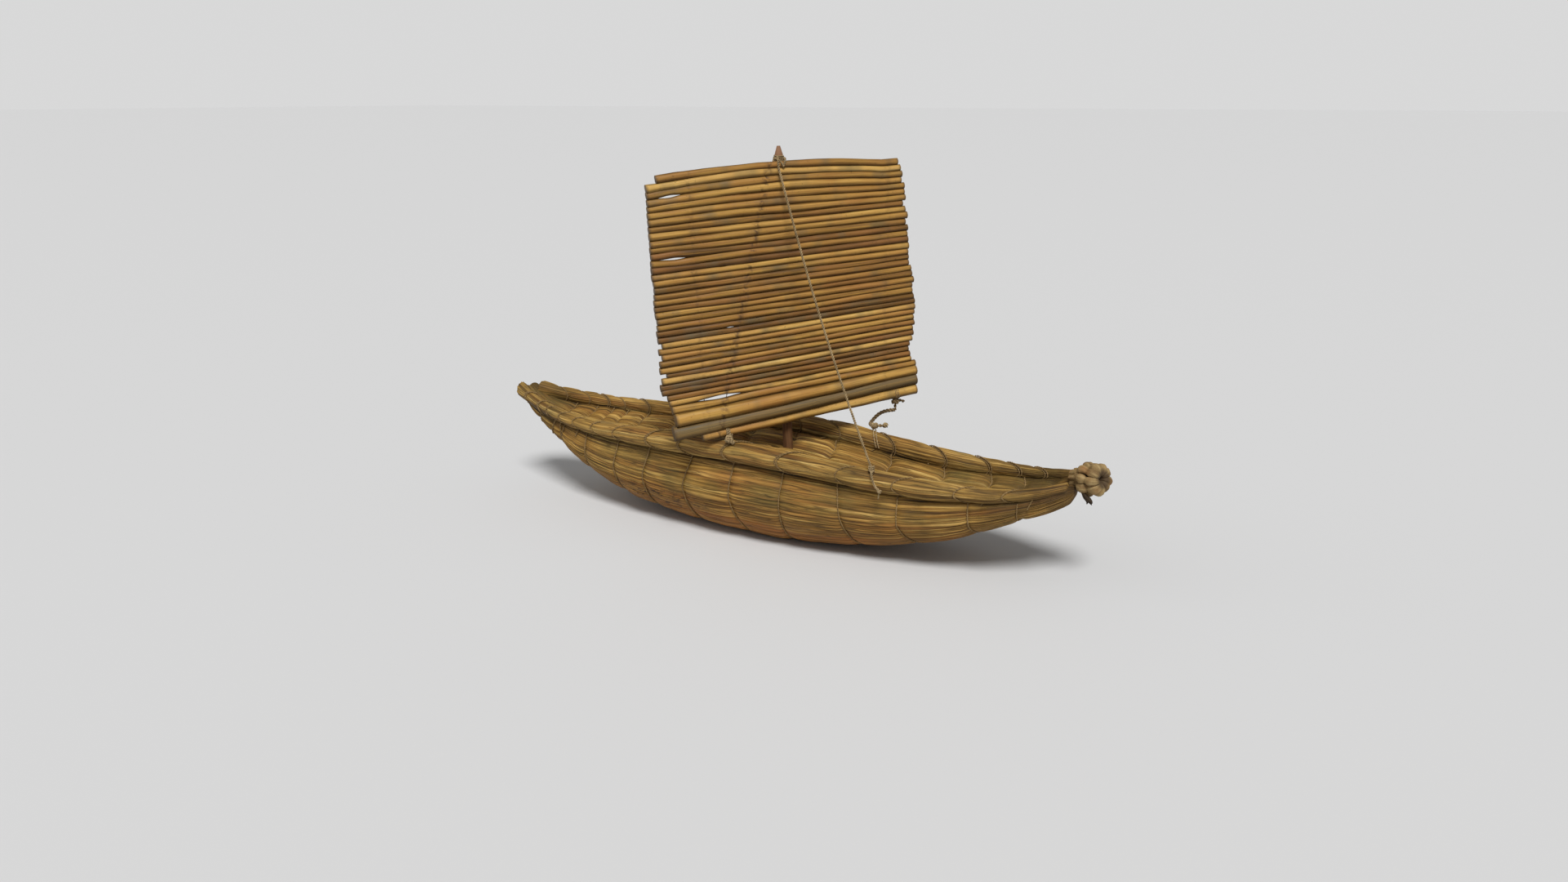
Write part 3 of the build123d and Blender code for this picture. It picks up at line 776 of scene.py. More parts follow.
def mast_skin():
    """Weathered reddish stick with the grain running up it, and a pale tip."""
    f = Finish("mast_wood_skin")
    run, around = f.named("run", "round")
    grain = f.grain(around * 16.0, run * 0.03, 0.4, 4.0, 0.65, 0.2)
    value = grain * 0.7 + f.noise(f.place, 45.0, 2.0) * 0.3
    tip = f.between(f.split()[2], 0.285, 0.300, 0.0, 0.75)
    colour = f.mix(tip, f.ramp(f.between(value, 0.25, 0.75), WOOD), (0.34, 0.180, 0.100))
    return f.end(colour, f.between(grain, 0.3, 0.7, 0.45, 0.68), grain, 0.0006, 0.6)


def floor_skin(colour):
    """Plain pale floor that also shows pale to reflections."""
    f = Finish("floor_skin")
    for name, value in (("Base Color", (*colour, 1)), ("Roughness", 0.9),
                        ("Specular IOR Level", 0.1)):
        f.plug(f.shader.inputs[name], value)
    return f.material


FINISHES = {
    "bundle": (reed_skin, "bundle_reed_skin", 0.70, 0.75, 1.6, 0.030, (1.0, 0.93, 0.76), True),
    "roll": (reed_skin, "roll_reed_skin", 0.45, 0.75, 1.8, 0.040, (1.08, 1.04, 0.94)),
    "sail": (sail_reed_skin,),
    "knob": (knob_skin,),
    "mast": (mast_skin,),
    "leaf": (twine_skin, "leaf_skin", (0.085, 0.058, 0.034), (0.025, 0.016, 0.010)),
    "twine": (twine_skin, "twine_skin", (0.40, 0.26, 0.110), (0.140, 0.085, 0.032)),
    "rope": (twine_skin, "rope_skin", (0.52, 0.38, 0.20), (0.17, 0.112, 0.052)),
    "sheet": (twine_skin, "sheet_skin", (0.36, 0.245, 0.125), (0.085, 0.055, 0.026)),
}
finishes = {}


def finish_of(name):
    """The material of a finish, made the first time that it is asked for."""
    if name not in finishes:
        maker, *values = FINISHES[name]
        finishes[name] = maker(*values)
    return finishes[name]


def dress(piece, body, finish=None, replaces=()):
    """Gives a piece its material, its body and the nodes it stands for."""
    if finish:
        piece.data.materials.clear()
        piece.data.materials.append(finish_of(finish))
    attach(piece, body)
    if replaces:
        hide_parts(*replaces)
    return piece


def laid(name, lines, tree, values, body, slot, *replaces):
    """Grows a piece from lines and dresses it."""
    return dress(grown_from_lines(name, lines, tree, values), body, None, replaces)


# ---- Sizes that a user would change ----

def metres(name, default, description):
    """A length that a user can change."""
    return FloatProperty(name=name, default=default, unit="LENGTH", description=description)


class HullLooks(bpy.types.PropertyGroup):
    bundle_reeds: IntProperty(name="Reeds in a bundle", default=54, min=12, max=70,
                              description="Reeds that show round each main bundle")
    roll_reeds: IntProperty(name="Reeds in a roll", default=19, min=8, max=30,
                            description="Reeds that show round each roll")
    bundle_pinch: metres("Bundle pinch", 0.0026, "How deep the twine sinks into a main bundle")
    roll_pinch: metres("Roll pinch", 0.0019, "How deep the twine sinks into a roll")
    ridge: metres("Reed ridge", 0.0011, "How far a reed stands out of its bundle")
    roll_slant: metres("Slant of the turns", 0.012,
                       "How far a turn runs forward from a roll's outer side")
    deck_lead: FloatProperty(name="Lead over the deck", default=16.0,
                             description="Millimetres that a turn runs forward over the deck")


class SailLooks(bpy.types.PropertyGroup):
    sides: IntProperty(name="Sides of a reed", default=14, min=6, max=32,
                       description="Faces round each reed of the mat")
    bend: metres("Bend of the reeds", 0.0011, "How far a reed strays from a straight line")
    lumps: metres("Unevenness", 0.0005, "Swellings along a reed")


class RopeLooks(bpy.types.PropertyGroup):
    lashing: metres("Lashing", 0.0013, "Thickness of the twine round the hull")
    stay: metres("Stay", 0.0021, "Thickness of the stay")


class StageLooks(bpy.types.PropertyGroup):
    floor_colour: FloatVectorProperty(name="Floor", subtype="COLOR", default=(0.66, 0.66, 0.66),
                                      min=0, max=1, description="Colour of the floor")
    backdrop: FloatVectorProperty(name="Backdrop", subtype="COLOR", default=(0.69, 0.69, 0.69),
                                  min=0, max=1, description="Colour behind the floor's edge")
    room: FloatProperty(name="Room light", default=0.26, min=0,
                        description="Strength of the even light from all round")
    key: FloatProperty(name="Key light", default=2.7, min=0,
                       description="Strength of the soft light from above")


def twine_values(finish, plies, sides, pitch, spacing, unevenness):
    """Inputs of the twine tree."""
    return {"Plies": plies, "Sides": sides, "Pitch": pitch, "Spacing": spacing,
            "Unevenness": unevenness, "Material": finish_of(finish)}


def reed_values(finish, sides, lumps, per_metre, flute, seed):
    """Inputs of the reed tree."""
    return {"Sides": sides, "Lumps": lumps, "Lumps per metre": per_metre, "Flute depth": flute,
            "Seed": seed, "Material": finish_of(finish)}


# ---- Pieces ----

class REEDBOAT_OT_bundles(bpy.types.Operator):
    """Build the two main bundles of reed"""
    bl_idname = "reedboat.bundles"
    bl_label = "Main Bundles"

    def execute(self, context):
        hull = context.scene.reed_boat_hull
        for side, word in SIDE_NAMES.items():
            turns = sorted({*BUNDLE_TURNS, *[t + 8 for t in ROLL_TURNS[side]]})
            xs = stations_of(BUNDLE_ENDS, turns, 2.3)
            piece = bundle_mesh(f"bundle_{word}", BundleForm(side, hull), xs, hull.bundle_reeds,
                                21 + side, hull.ridge / MM, False)
            dress(piece, "hull", "bundle", [f"main_bundle_{word}"])
        return {"FINISHED"}


class REEDBOAT_OT_rolls(bpy.types.Operator):
    """Build the rolls along the edges"""
    bl_idname = "reedboat.rolls"
    bl_label = "Edge Rolls"

    def execute(self, context):
        hull = context.scene.reed_boat_hull
        for side, word in SIDE_NAMES.items():
            xs = stations_of(ROLL_ENDS[side], ROLL_TURNS[side], 1.9)
            piece = bundle_mesh(f"roll_{word}", RollForm(side, hull), xs, hull.roll_reeds,
                                41 + side, hull.ridge / MM * 0.9, True)
            dress(piece, "hull", "roll", [f"gunwale_roll_{word}"])
        return {"FINISHED"}


class REEDBOAT_OT_lashings(bpy.types.Operator):
    """Wind the twine round the bundles and rolls"""
    bl_idname = "reedboat.lashings"
    bl_label = "Lashings"

    def execute(self, context):
        hull, rope = context.scene.reed_boat_hull, context.scene.reed_boat_rope
        tree, values = twine_tree(), twine_values("twine", 2, 5, 0.0046, 0.0009, 0.0002)
        radius = rope.lashing / 2 / MM / PLY_REACH
        rng = np.random.default_rng(8)
        for side, word in SIDE_NAMES.items():
            form, lines = BundleForm(side, hull), []
            for x in BUNDLE_TURNS:
                stray, bow = rng.uniform(-0.8, 0.8), rng.uniform(-1.2, 1.2)
                shares = np.linspace(form.notch(x) * 0.72, 1.0, 60)
                way = (shares - shares[0]) / (1 - shares[0])
                lines.append(smooth_line([form.point(
                    x + float(form.course(x, s)) + stray * math.sin(3 * w)
                    + bow * math.sin(math.pi * w) * 0.3, s, radius * 0.9)
                    for s, w in zip(shares, way)], radius, 0.9, 2))
            laid(f"bundle_twine_{word}", lines, tree, values, "hull", "twine",
                 f"bundle_lashings_{word}")
            roll, lines = RollForm(side, hull), []
            for x in ROLL_TURNS[side]:
                slant = hull.roll_slant / MM * min(1.0, float(hull_line(ROLL_R, x)) / 8)
                for turn in range(2 if rng.uniform() < 0.35 else 1):
                    lines.append(smooth_line([
                        roll.point(x + 2.1 * turn - slant * math.cos(a), a, radius * 0.8)
                        for a in np.radians(np.linspace(-115, 245, 56))], radius, 0.9, 2))
                if BUNDLE_ENDS[0] + 14 < x + hull.deck_lead < 226:
                    lines.append(smooth_line([
                        form.point(x + hull.deck_lead * float(form.deck_share(x, s)), s,
                                   radius * 0.8)
                        for s in np.linspace(form.notch(x) * 0.9, 0.004, 24)], radius, 0.9, 2))
            laid(f"roll_twine_{word}", lines, tree, values, "hull", "twine",
                 f"roll_lashings_{word}")
        return {"FINISHED"}


class REEDBOAT_OT_knob(bpy.types.Operator):
    """Fold the reed ends back into the knob at the bow"""
    bl_idname = "reedboat.knob"
    bl_label = "Bow Knob"

    def execute(self, context):
        # The rings of folds face a little to starboard, about the middle of the knob
        middle = KNOB_ROOT + KNOB_AXIS * 11.0
        facing = np.array((0.86, -0.42, 0.24))
        facing /= np.linalg.norm(facing)
        aside = np.cross((0.0, 0.0, 1.0), facing)
        aside /= np.linalg.norm(aside)
        over = np.cross(facing, aside)
        rng = np.random.default_rng(4)
        # Along the axis from the middle, away from it, turn in degrees, radius of the fold
        fold = ((-14.0, 5.6, 0, 2.3), (-8.0, 6.2, 0, 2.3), (-5.4, 6.9, 0, 2.6),
                (-2.8, 8.9, 2, 3.7), (0.2, 9.4, 5, 3.7), (2.0, 8.0, 9, 2.5), (4.2, 8.5, 13, 2.9),
                (6.8, 8.6, 17, 3.9), (8.6, 6.8, 20, 3.2), (8.2, 4.5, 22, 2.4),
                (5.0, 3.4, 24, 1.9), (1.0, 2.4, 25, 1.6))
        lines, count = [], 9
        for k in range(count):
            start = 360 * k / count + rng.uniform(-6, 6)
            size = rng.uniform(0.9, 1.06)
            points = []
            for along, away, turn, radius in fold:
                a = math.radians(start + turn)
                shift = rng.uniform(-0.5, 0.5)
                points.append((*(middle + facing * (along + shift) + (
                    aside * math.cos(a) + over * math.sin(a)) * away * (0.94 + 0.06 * size)),
                    radius * size * rng.uniform(0.90, 1.06)))
            lines.append(smooth_line(points, 1.0, 0.8, 2))
        heart = [(*(middle + facing * t), r) for t, r in
                 ((-15.0, 6.0), (-5, 7.2), (-1, 7.2), (2.5, 5.4), (5.0, 2.4))]
        lines.append(smooth_line(heart, 1.0, 1.0, 2))
        piece = laid("knob_folds", lines, reed_tree(),
                     reed_values("knob", 20, 0.0011, 260.0, 0.00018, 3), "hull", "knob_reed",
                     "bow_knob")
        # Shade in the folds
        off = points_of(piece.data) - middle
        along = off @ facing
        away = np.linalg.norm(off - np.outer(along, facing), axis=1)
        reach = np.interp(along, (-9, -4.5, 0, 2.6, 7, 11), (7.0, 11.4, 12.8, 10.6, 12.0, 9.0))
        mark(piece.data, "crease_shade", np.clip((reach - away) / 3.6, 0, 1))
        # A dark torn leaf under the neck
        leaf = [smooth_line([(251.5, -7.5, 75.0), (254.8 + 0.6 * k, -8.0 - 0.5 * k, 71.6),
                             (257.2 + 1.0 * k, -8.4 - 0.8 * k, 69.4 - 1.3 * (k % 2)),
                             (259.0 + 1.2 * k - (k % 3), -8.0, 67.4 - 1.2 * (k % 2))], 1.0, 0.6, 1)
                for k in range(-2, 3)]
        for line in leaf:
            line[:, 3] = np.interp(np.linspace(0, 1, len(line)), (0, 0.6, 1), (0.8, 1.5, 0.3))
        laid("torn_leaf", leaf, reed_tree(), reed_values("leaf", 9, 0.0009, 500.0, 0.0001, 7),
             "hull", "knob_reed")
        # Turns of twine round the neck
        turns = []
        for k in range(4):
            centre, reach = middle - facing * (5.2 + 1.0 * k), 9.3 - 0.3 * k
            turns.append(smooth_line([
                centre + aside * math.cos(a) * reach + over * math.sin(a) * reach
                for a in np.linspace(0, 2 * math.pi, 40)], 0.5, 0.7, 1))
        laid("neck_twine", turns, twine_tree(),
             twine_values("twine", 2, 5, 0.004, 0.0007, 0.0002), "hull", "twine")
        return {"FINISHED"}


def reed_axes(node):
    """Ends and radius of each reed of a CAD node, from its loose pieces, topmost first."""
    mesh = bmesh.new()
    mesh.from_mesh(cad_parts[node].data)
    bmesh.ops.remove_doubles(mesh, verts=mesh.verts, dist=1e-6)
    left, found = set(mesh.verts), []
    while left:
        stack, part = [left.pop()], []
        while stack:
            v = stack.pop()
            part.append(v)
            for e in v.link_edges:
                o = e.other_vert(v)
                if o in left:
                    left.remove(o)
                    stack.append(o)
        p = np.array([v.co for v in part]) / MM
        centre = p.mean(0)
        along = np.linalg.svd(p - centre, full_matrices=False)[2][0]
        along *= np.sign(along @ SAIL_ALONG)
        t = (p - centre) @ along
        radius = np.linalg.norm(p - centre - np.outer(t, along), axis=1).mean()
        found.append((centre + along * t.min(), centre + along * t.max(), radius))
    mesh.free()
    return sorted(found, key=lambda r: -(r[0][2] + r[1][2]))


# Sewing threads of the mat: where each crosses the top and the foot of the sail, from the
# mast's axis, and how dark its marks are
SEWN_LINES = ((-74.0, -70.0, 0.35), (-12.0, -53.0, 0.95), (87.0, 82.0, 0.25))
MAT_TOP, MAT_FOOT = 221.0, 50.0
# Stay: its bend over the topmost reed, on the rig, and its knot on the starboard roll
STAY_HEAD, STAY_SEAT = (-4.2, 10.7, 223.1), (104.0, -44.19, 80.26)
# Stub on the lowest foot reed: its turns, knot and tip, on the rig
STUB_TURNS, STUB_KNOT, STUB_TIP = (-52.5, 7.9, 20.7), (-54.6, 17.4, 18.0), (-50.9, 19.2, 14.8)
# Sheet: its knot on the port roll, and its hitch and the foot reed's axis there
SHEET_SEAT, HITCH, HITCH_CANE = (70.5, 44.92, 84.62), (80.83, 61.78, 102.73), (80.80, 61.58, 109.6)
# Places where the light shows between two reeds: number of the upper one, along, width, opening
SLITS = ((2, -88.0, 7.0, 1.6), (11, -87.0, 8.0, 1.4), (13, -50.0, 3.0, 0.9), (23, -46.0, 4.0, 0.9),
         (35, -55.0, 19.0, 2.6))


# Where each reed of the mat ends, from the mast's axis, topmost first
LEFT_ENDS = (97.5, 105.5, 105.9, 105.4, 106.7, 106.7, 107.0, 106.5, 106.4, 104.8, 107.3, 104.8,
             106.2, 106.2, 105.9, 104.3, 103.9, 104.3, 104.8, 104.7, 104.4, 103.3, 103.6, 104.1,
             103.6, 100.8, 103.6, 101.4, 103.6, 103.8, 98.5, 102.6, 103.9, 103.2, 99.0, 98.0)
RIGHT_ENDS = (95.1, 97.2, 98.6, 97.9, 100.7, 100.7, 101.4, 99.3, 101.5, 102.9, 101.5, 103.6,
              102.9, 103.7, 104.4, 103.7, 104.4, 104.4, 106.6, 107.4, 108.8, 107.4, 107.4, 108.9,
              111.1, 110.4, 109.7, 109.0, 109.7, 108.3, 109.0, 107.6, 105.4, 104.7, 106.1, 106.9)
# How far the mat's reeds may reach left and right, and the foot reeds right
MAT_LEFT, MAT_RIGHT, FOOT_RIGHT = 105.1, 110.0, 111.2
# How far each foot reed lies off its straight line, and how it swells, left and right
FOOT_LIFTS = ((-0.2, 0.0, 1.50, 1.25), (0.3, -0.6, 1.34, 1.08), (1.3, 0.8, 1.38, 1.10),
              (0.9, 1.6, 1.12, 1.10))


def thread_at(line, up):
    """Along-reed place of a sewing thread at a height."""
    return line[0] + (line[1] - line[0]) * (MAT_TOP - up) / (MAT_TOP - MAT_FOOT)


def sewn_share(piece):
    """Marks how near each point of the mat is to one of its sewing threads."""
    off = points_of(piece.data) - MAST_FOOT
    along, up = off @ SAIL_ALONG, off @ MAST_UP
    marks = [line[2] * np.exp(-((along - thread_at(line, up)) / 1.9) ** 2) for line in SEWN_LINES]
    mark(piece.data, "sewn", np.max(marks, axis=0))


def bent_reeds(sail):
    """Lines of the mat's reeds and of the foot reeds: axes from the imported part, arched and
    jostled as dry reed is, and as thick as it takes to touch."""
    rng = np.random.default_rng(5)
    mat, foot = reed_axes("sail_reeds"), reed_axes("foot_reeds")
    lines = []
    for number, (start, end, radius) in enumerate(mat + foot):
        slope = (end - start) / ((end - start) @ SAIL_ALONG)
        below = number - len(mat)
        left, right = (start - MAST_FOOT) @ SAIL_ALONG, (end - MAST_FOOT) @ SAIL_ALONG
        if below < 0:
            left, right = -min(LEFT_ENDS[number], MAT_LEFT), min(RIGHT_ENDS[number], MAT_RIGHT)
        else:
            left, right = left + 0.9 - 3.5 * (below == 3), min(right, FOOT_RIGHT)
        along = np.linspace(left, right, 72)
        points = start + np.outer(along - (start - MAST_FOOT) @ SAIL_ALONG, slope)
        lift = 0.38 * sail.bend / MM * wave(along, rng.uniform(160, 320), rng.integers(1e6))
        depth = 0.25 * wave(along, rng.uniform(120, 260), rng.integers(1e6))
        depth = depth + rng.uniform(-0.4, 0.3)
        arch = np.maximum(3.2 * (1 - ((along + 12) / 75) ** 2), -1.8)
        lift = lift + arch * math.exp(-(number / 5.5) ** 2)
        if below >= 0:
            share = (along - left) / (right - left)
            low_left, low_right, thick_left, thick_right = FOOT_LIFTS[below]
            lift = lift + low_left * (1 - share) + low_right * share
            radius = radius * (thick_left * (1 - share) + thick_right * share)
        points = points + np.outer(lift, MAST_UP) + np.outer(depth, SAIL_AHEAD)
        lines.append(np.c_[points, np.zeros(len(along)) + radius])
    heights = [((line[:, :3] - MAST_FOOT) @ SAIL_ALONG, (line[:, :3] - MAST_FOOT) @ MAST_UP)
               for line in lines]
    drawn = [line.copy() for line in lines]
    for number, line in enumerate(drawn):
        along, up = heights[number]
        below = number - len(mat)
        size = line[:, 3].copy()
        for other in (number - 1, number + 1):
            if 0 <= other < len(lines):
                apart = np.abs(np.interp(along, *heights[other]) - up)
                both = line[:, 3] + np.interp(along, heights[other][0], lines[other][:, 3])
                wide = apart * line[:, 3] / both * 1.085
                size = np.where(apart < both * 1.1 + 3, np.maximum(size, wide), size)
        for upper, at, width, opening in SLITS:
            if number in (upper, upper + 1):
                side = 1 if number == upper else -1
                near = np.exp(-((along - at) / width) ** 2)
                size = size - opening * 0.3 * near
                line[:, :3] += np.outer(side * opening * 0.35 * near, MAST_UP)
        reach = along - along[0]
        size = size * (1 + 0.018 * wave(reach, rng.uniform(60, 140), rng.integers(1e6)))
        for at in rng.uniform(0.1, 0.9, rng.integers(0, 3)) * reach[-1]:
            size = size + 0.16 * np.exp(-((reach - at) / 2.2) ** 2)
        line[:, 3] = size
    return drawn[:len(mat)], drawn[len(mat):]


def crevice_share(piece):
    """Marks how far each point of the mat lies in the crevice above or below its reed, as
    painted shade that reaches further round the reed's underside.
    """
    mesh = piece.data
    normals = np.zeros(len(mesh.vertices) * 3, np.float32)
    mesh.vertex_normals.foreach_get("vector", normals)
    lean = normals.reshape(-1, 3) @ MAST_UP
    mark(mesh, "crease_shade",
         np.clip(np.maximum((lean - 0.68) / 0.22, (-lean - 0.05) / 0.58), 0, 1))


class REEDBOAT_OT_sail(bpy.types.Operator):
    """Lay the reeds of the mat sail and its foot"""
    bl_idname = "reedboat.sail"
    bl_label = "Sail"

    def execute(self, context):
        sail = context.scene.reed_boat_sail
        tree = reed_tree()
        mat, foot = bent_reeds(sail)
        # The third of the foot reeds is grey
        for name, node, lines, seed, grey in (("mat_reeds", "sail_reeds", mat, 5, -1),
                                              ("foot_canes", "foot_reeds", foot, 32, 2)):
            values = reed_values("sail", sail.sides, sail.lumps, 75.0, 0.00003, seed)
            piece = laid(name, lines, tree, {**values, "Grey line": grey}, "rig", "sail_reed",
                         node)
            sewn_share(piece)
            crevice_share(piece)
        return {"FINISHED"}


class REEDBOAT_OT_mast(bpy.types.Operator):
    """Shape the mast as a natural stick"""
    bl_idname = "reedboat.mast"
    bl_label = "Mast"

    def execute(self, context):
        up = np.concatenate([np.arange(-44.5, 231, 3.0), (231.5, 235.0, 237.0, 237.8)])
        size = np.interp(up, (-45, 0, 231.5, 237.8), (4.0, 4.0, 3.2, 1.3))
        size = size * (1 + 0.025 * wave(up, 45, 3))
        for at in (58.0, 127.0, 196.0):
            size = size + 0.1 * np.exp(-((up - at) / 2.2) ** 2)
        line = np.c_[MAST_FOOT + np.outer(up, MAST_UP), size]
        laid("mast_stick", [line], reed_tree(),
             reed_values("mast", 28, 0.0003, 60.0, 0.00004, 2), "rig", "mast_wood", "mast")
        return {"FINISHED"}


class REEDBOAT_OT_ties(bpy.types.Operator):
    """Tie the masthead, the stay, the sewing threads and the knots of the sail"""
    bl_idname = "reedboat.ties"
    bl_label = "Ties"

    def execute(self, context):
        rope = context.scene.reed_boat_rope
        tree, thin = twine_tree(), twine_values("rope", 2, 6, 0.0035, 0.0006, 0.0002)
        # Masthead: a few turns of cord over the mast's tip that also hold the topmost reed
        t = np.linspace(0, 1, 120)
        angle = t * 2 * math.pi * 4
        reach = np.interp(t, (0, 0.35, 1), (4.5, 4.1, 3.3))
        lines = [np.c_[[on_rig(r * math.cos(a), r * math.sin(a), 226.3 + 5.0 * k)
                        for a, k, r in zip(angle, t, reach)], np.interp(t, (0, 1), (0.75, 0.5))]]
        for lean in (-1, 1):
            lines.append(smooth_line([on_rig(*p) for p in (
                (3.7 * lean, 1.0, 229.0), (3.0 * lean, 6.0, 228.6), (2.0 * lean, 9.2, 227.0),
                (0.8 * lean, 10.3, 224.6), (-0.3 * lean, 9.9, 223.0))], 0.8, 0.7, 2))
        laid("masthead_twine", lines, tree, thin, "rig", "twine", "masthead_knot")
        # Stay: from the masthead over the topmost reed, taut to its knot on the starboard roll
        seat = np.array(STAY_SEAT)
        over = on_rig(*STAY_HEAD)
        t = np.linspace(0, 1, 50)
        slack = np.array((-0.836, 0.365, -0.409)) * 5.0
        taut = over + np.outer(t, seat - over) + np.outer(np.sin(math.pi * t), slack)
        route = [on_rig(-2.5, 5.2, 230.2), on_rig(-3.4, 8.4, 228.0), on_rig(-4.0, 10.6, 225.4),
                 *taut]
        lines = [smooth_line(route, rope.stay / 2 / MM / PLY_REACH, 1.2, 2)]
        lines.append(coil(seat, np.array((0, 0, 1)), -2.0, 4.2, np.array((1.9, 0, 0)),
                          np.array((0, 1.7, 0)), 3, 80, 0.75))
        lines.append(knot_lines(seat + np.array((0.8, -0.8, -1.6)), 1.5, 0.7, 3, 2.2))
        tail = [seat, (105.3, -47.6, 78.0), (106.6, -49.6, 75.0), (108.2, -50.4, 71.6),
                (110.6, -50.8, 68.2), (113.8, -51.0, 66.2)]
        lines.append(smooth_line(tail, 1.0, 0.7, 2))
        lines.append(knot_lines(np.array((113.6, -51.2, 66.0)), 1.2, 0.75, 3, 0.3))
        lines.append(smooth_line([(113.6, -51.0, 66.0), (112.9, -51.2, 62.6), (112.6, -51.0, 60.0)],
                                 0.65, 0.5, 1))
        laid("stay_twine", lines, tree, thin, "hull", "twine", "stay")
        # Threads sewn through the reeds of the mat, and the knotted stub on the lowest reed
        reeds = reed_axes("sail_reeds") + reed_axes("foot_reeds")
        lines = []
        for line in SEWN_LINES:
            points = []
            for start, end, _ in reeds:
                at = thread_at(line, ((start + end) / 2 - MAST_FOOT) @ MAST_UP)
                a0, a1 = (start - MAST_FOOT) @ SAIL_ALONG, (end - MAST_FOOT) @ SAIL_ALONG
                points.append(start + (end - start) * (at - a0) / (a1 - a0))
            lines.append(smooth_line(points, 0.4, 1.0, 1))
        cane, stub, tip = (on_rig(*p) for p in (STUB_TURNS, STUB_KNOT, STUB_TIP))
        lines.append(coil(cane, SAIL_ALONG, -1.8, 3.4, SAIL_AHEAD * 4.9, MAST_UP * 4.9, 2, 60,
                          0.95))
        lines.append(smooth_line([cane + SAIL_AHEAD * 4.8,
                                  cane + SAIL_AHEAD * 5.0 - MAST_UP * 2.5, stub], 1.2, 0.7, 1))
        lines.append(knot_lines(stub, 2.2, 1.4, 4, 0.8))
        lines.append(smooth_line([stub, stub + (tip - stub) * 0.5 - MAST_UP * 0.6, tip],
                                 1.8, 0.7, 1))
        laid("sewing_threads", lines, tree, thin, "rig", "twine")
        return {"FINISHED"}


def coil(centre, way, start, length, across, over, turns, count, radius):
    """Turns of cord round a centre, from start along a way."""
    t = np.linspace(0, 1, count)
    a = t * 2 * math.pi * turns
    return np.c_[centre + np.outer(start + length * t, way) + np.outer(np.cos(a), across)
                 + np.outer(np.sin(a), over), np.full(count, radius)]


def knot_lines(centre, size, radius, turns, seed):
    """A small tangled knot: a line that winds over a ball in changing directions."""
    t = np.linspace(0, 1, 26 * turns)
    a = t * 2 * math.pi * turns
    tip = 1.1 * np.sin(a * 0.37 + seed)
    return np.c_[np.stack([
        centre[0] + size * np.cos(a) * np.cos(tip),
        centre[1] + size * np.sin(a),
        centre[2] + size * np.cos(a) * np.sin(tip)], 1), np.full(len(t), radius)]


class REEDBOAT_OT_sheet(bpy.types.Operator):
    """Hang the slack sheet from the sail's foot to its knot on the port roll"""
    bl_idname = "reedboat.sheet"
    bl_label = "Sheet"

    def execute(self, context):
        data = bpy.data.curves.new("sheet_route", "CURVE")
        data.dimensions = "3D"
        spline = data.splines.new("NURBS")
        spline.points.add(len(SHEET_POINTS) - 1)
        for point, place in zip(spline.points, SHEET_POINTS):
            point.co = (*place, 1)
        spline.order_u = 3
        spline.use_endpoint_u = True
        spline.resolution_u = 12
        plain = as_mesh(placed("sheet_route", data))
        path = [tuple(v.co) for v in plain.vertices]
        bpy.data.meshes.remove(plain)
        tree = twine_tree()
        radius = SHEET_DIAMETER / 2 / MM * 0.94
        line = np.c_[np.array(path) / MM, np.full(len(path), radius)]
        sheet = grown_from_lines("sheet", [line], tree,
                                 twine_values("sheet", 3, 8, 0.0085, 0.0007, 0.0003))
        knotted = twine_values("sheet", 2, 6, 0.006, 0.0007, 0.0003)
        # Its knot on the roll, with the stub of the rope's end
        seat = np.array(SHEET_SEAT)
        wraps = [knot_lines(seat + np.array((-0.6, 0, -0.2)), 2.2, 1.25, 4, 0.4)]
        stub = [seat + np.array(p) for p in ((0, 0, 0), (4, 0.4, 0.5), (8.5, 0.9, 1.0))]
        wraps.append(smooth_line(stub, 1.45, 0.7, 1))
        wraps.append(knot_lines(seat + np.array((8.6, 0.9, 1.3)), 1.6, 1.1, 3, 1.9))
        over = RollForm(1, context.scene.reed_boat_hull)
        for x in (68.6, 71.0):
            wraps.append(smooth_line([over.point(x + 4 * (a - 1.2), a, 0.6)
                                      for a in np.linspace(0.0, 3.3, 24)], 0.6, 0.7, 1))
        knot = grown_from_lines("sheet_end_knot", wraps, tree, knotted)
        dress(knot, "hull", "rope", ["sheet_knot"])
        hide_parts("sheet_rope")
        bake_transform(sheet)
        # Hitch on the lowest foot reed, with the stub of the rope's other end
        hitch, cane, up = np.array(HITCH), np.array(HITCH_CANE), np.array((0.0, 0.0, 1.0))
        across = np.cross(SAIL_ALONG, up)
        wraps = [coil(cane, SAIL_ALONG, -2.0, 4.0, across * 4.4, up * 4.4, 3, 90, 0.7)]
        wraps.append(knot_lines(hitch + up * 0.2, 2.3, 1.25, 4, 0.9))
        wraps.append(smooth_line([hitch, hitch + SAIL_ALONG * 4 + up * 0.4,
                                  hitch + SAIL_ALONG * 8 - up * 1.2], 1.3, 0.7, 1))
        end = np.array(SHEET_POINTS[0]) / MM
        wraps.append(smooth_line([hitch - up * 1.5, hitch - up * 4, end + np.array((0.3, 0, 1.2)),
                                  end], 1.2, 0.7, 1))
        laid("sheet_hitch_wraps", wraps, tree, knotted, "rig", "rope", "sheet_hitch")
        return {"FINISHED"}


# Camera: its place and target in metres, its lens and sensor in mm
CAMERA_EYE, CAMERA_TARGET = (0.3840, -0.7390, 0.3447), (0.00838, 0.0, 0.07506)
CAMERA_LENS, SENSOR_WIDTH = 24.386, 36.0


def aimed(data, place, target=(0.0, 0.0, 0.0)):
    """Puts a lamp or a camera in its place, turned to a target."""
    holder = placed(data.name, data)
    holder.location = place
    way = Vector(target) - Vector(place)
    holder.rotation_euler = way.to_track_quat("-Z", "Y").to_euler()
    return holder


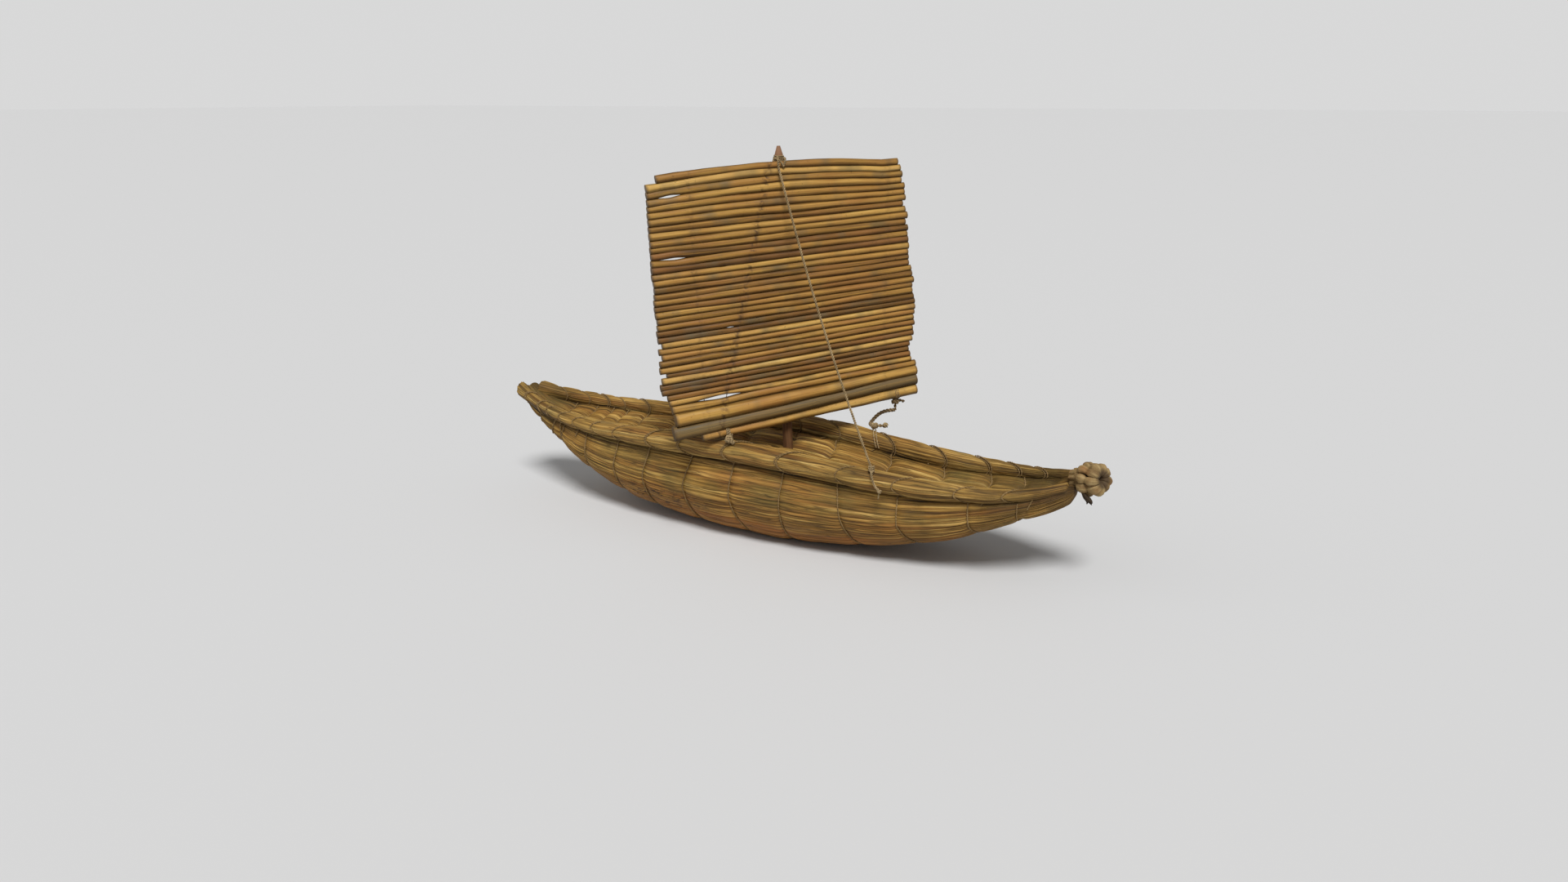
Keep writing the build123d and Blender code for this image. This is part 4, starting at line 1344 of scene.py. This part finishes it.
class REEDBOAT_OT_stage(bpy.types.Operator):
    """Set the floor, the lamps and the camera"""
    bl_idname = "reedboat.stage"
    bl_label = "Stage"

    def execute(self, context):
        scene = context.scene
        stage = scene.reed_boat_stage
        bpy.ops.mesh.primitive_plane_add(size=60.0)
        floor = context.object
        floor.name = "floor"
        floor.data.materials.append(floor_skin(stage.floor_colour))
        world = bpy.data.worlds.new("soft_room")
        world.use_nodes = True
        tree = Nodes(world.node_tree)
        room = tree.nodes["Background"]
        tree.plug(room.inputs["Color"], (1.0, 1.0, 1.0, 1))
        tree.plug(room.inputs["Strength"], stage.room)
        backdrop = tree.add("ShaderNodeBackground", {"Color": (*stage.backdrop, 1)})
        choice = tree.add("ShaderNodeMixShader", {
            0: tree.add("ShaderNodeLightPath", out="Is Camera Ray"),
            1: Wire(tree, room.outputs[0]), 2: backdrop})
        tree.plug(tree.nodes["World Output"].inputs["Surface"], choice)
        scene.world = world
        # Direction that each soft light comes from, its strength and its spread in degrees
        for name, place, strength, spread in (("key", (0.45, -0.70, 1.30), stage.key, 20),
                                              ("fill", (-1.0, -0.6, 0.7), stage.key * 0.12, 60)):
            lamp = bpy.data.lights.new(name, "SUN")
            lamp.energy, lamp.angle = strength, math.radians(spread)
            aimed(lamp, place)
        camera = bpy.data.cameras.new("camera")
        camera.lens, camera.sensor_width = CAMERA_LENS, SENSOR_WIDTH
        camera.clip_start, camera.clip_end = 0.01, 50.0
        scene.camera = aimed(camera, CAMERA_EYE, CAMERA_TARGET)
        scene.view_settings.view_transform = "Standard"
        return {"FINISHED"}


PIECES = (REEDBOAT_OT_stage, REEDBOAT_OT_sheet, REEDBOAT_OT_bundles, REEDBOAT_OT_rolls,
          REEDBOAT_OT_lashings, REEDBOAT_OT_knob, REEDBOAT_OT_sail, REEDBOAT_OT_mast,
          REEDBOAT_OT_ties)
LOOKS = {"reed_boat_hull": HullLooks, "reed_boat_sail": SailLooks,
         "reed_boat_rope": RopeLooks, "reed_boat_stage": StageLooks}


class REEDBOAT_PT_panel(bpy.types.Panel):
    """Pieces of the reed boat"""
    bl_idname = "REEDBOAT_PT_panel"
    bl_label = "Reed Boat"
    bl_space_type = "VIEW_3D"
    bl_region_type = "UI"
    bl_category = "Reed Boat"

    def draw(self, context):
        for operator in PIECES:
            self.layout.operator(operator.bl_idname)
        for name, group in LOOKS.items():
            box = self.layout.box()
            for key in group.__annotations__:
                box.prop(getattr(context.scene, name), key)


def register():
    for name, group in LOOKS.items():
        bpy.utils.register_class(group)
        setattr(bpy.types.Scene, name, PointerProperty(type=group))
    for item in (*PIECES, REEDBOAT_PT_panel):
        bpy.utils.register_class(item)


def unregister():
    for item in (REEDBOAT_PT_panel, *PIECES):
        bpy.utils.unregister_class(item)
    for name, group in LOOKS.items():
        delattr(bpy.types.Scene, name)
        bpy.utils.unregister_class(group)


def main():
    """Registers the add-on and builds every piece."""
    register()
    for operator in PIECES:
        group, name = operator.bl_idname.split(".")
        getattr(getattr(bpy.ops, group), name)()


if __name__ == "__main__":
    main()
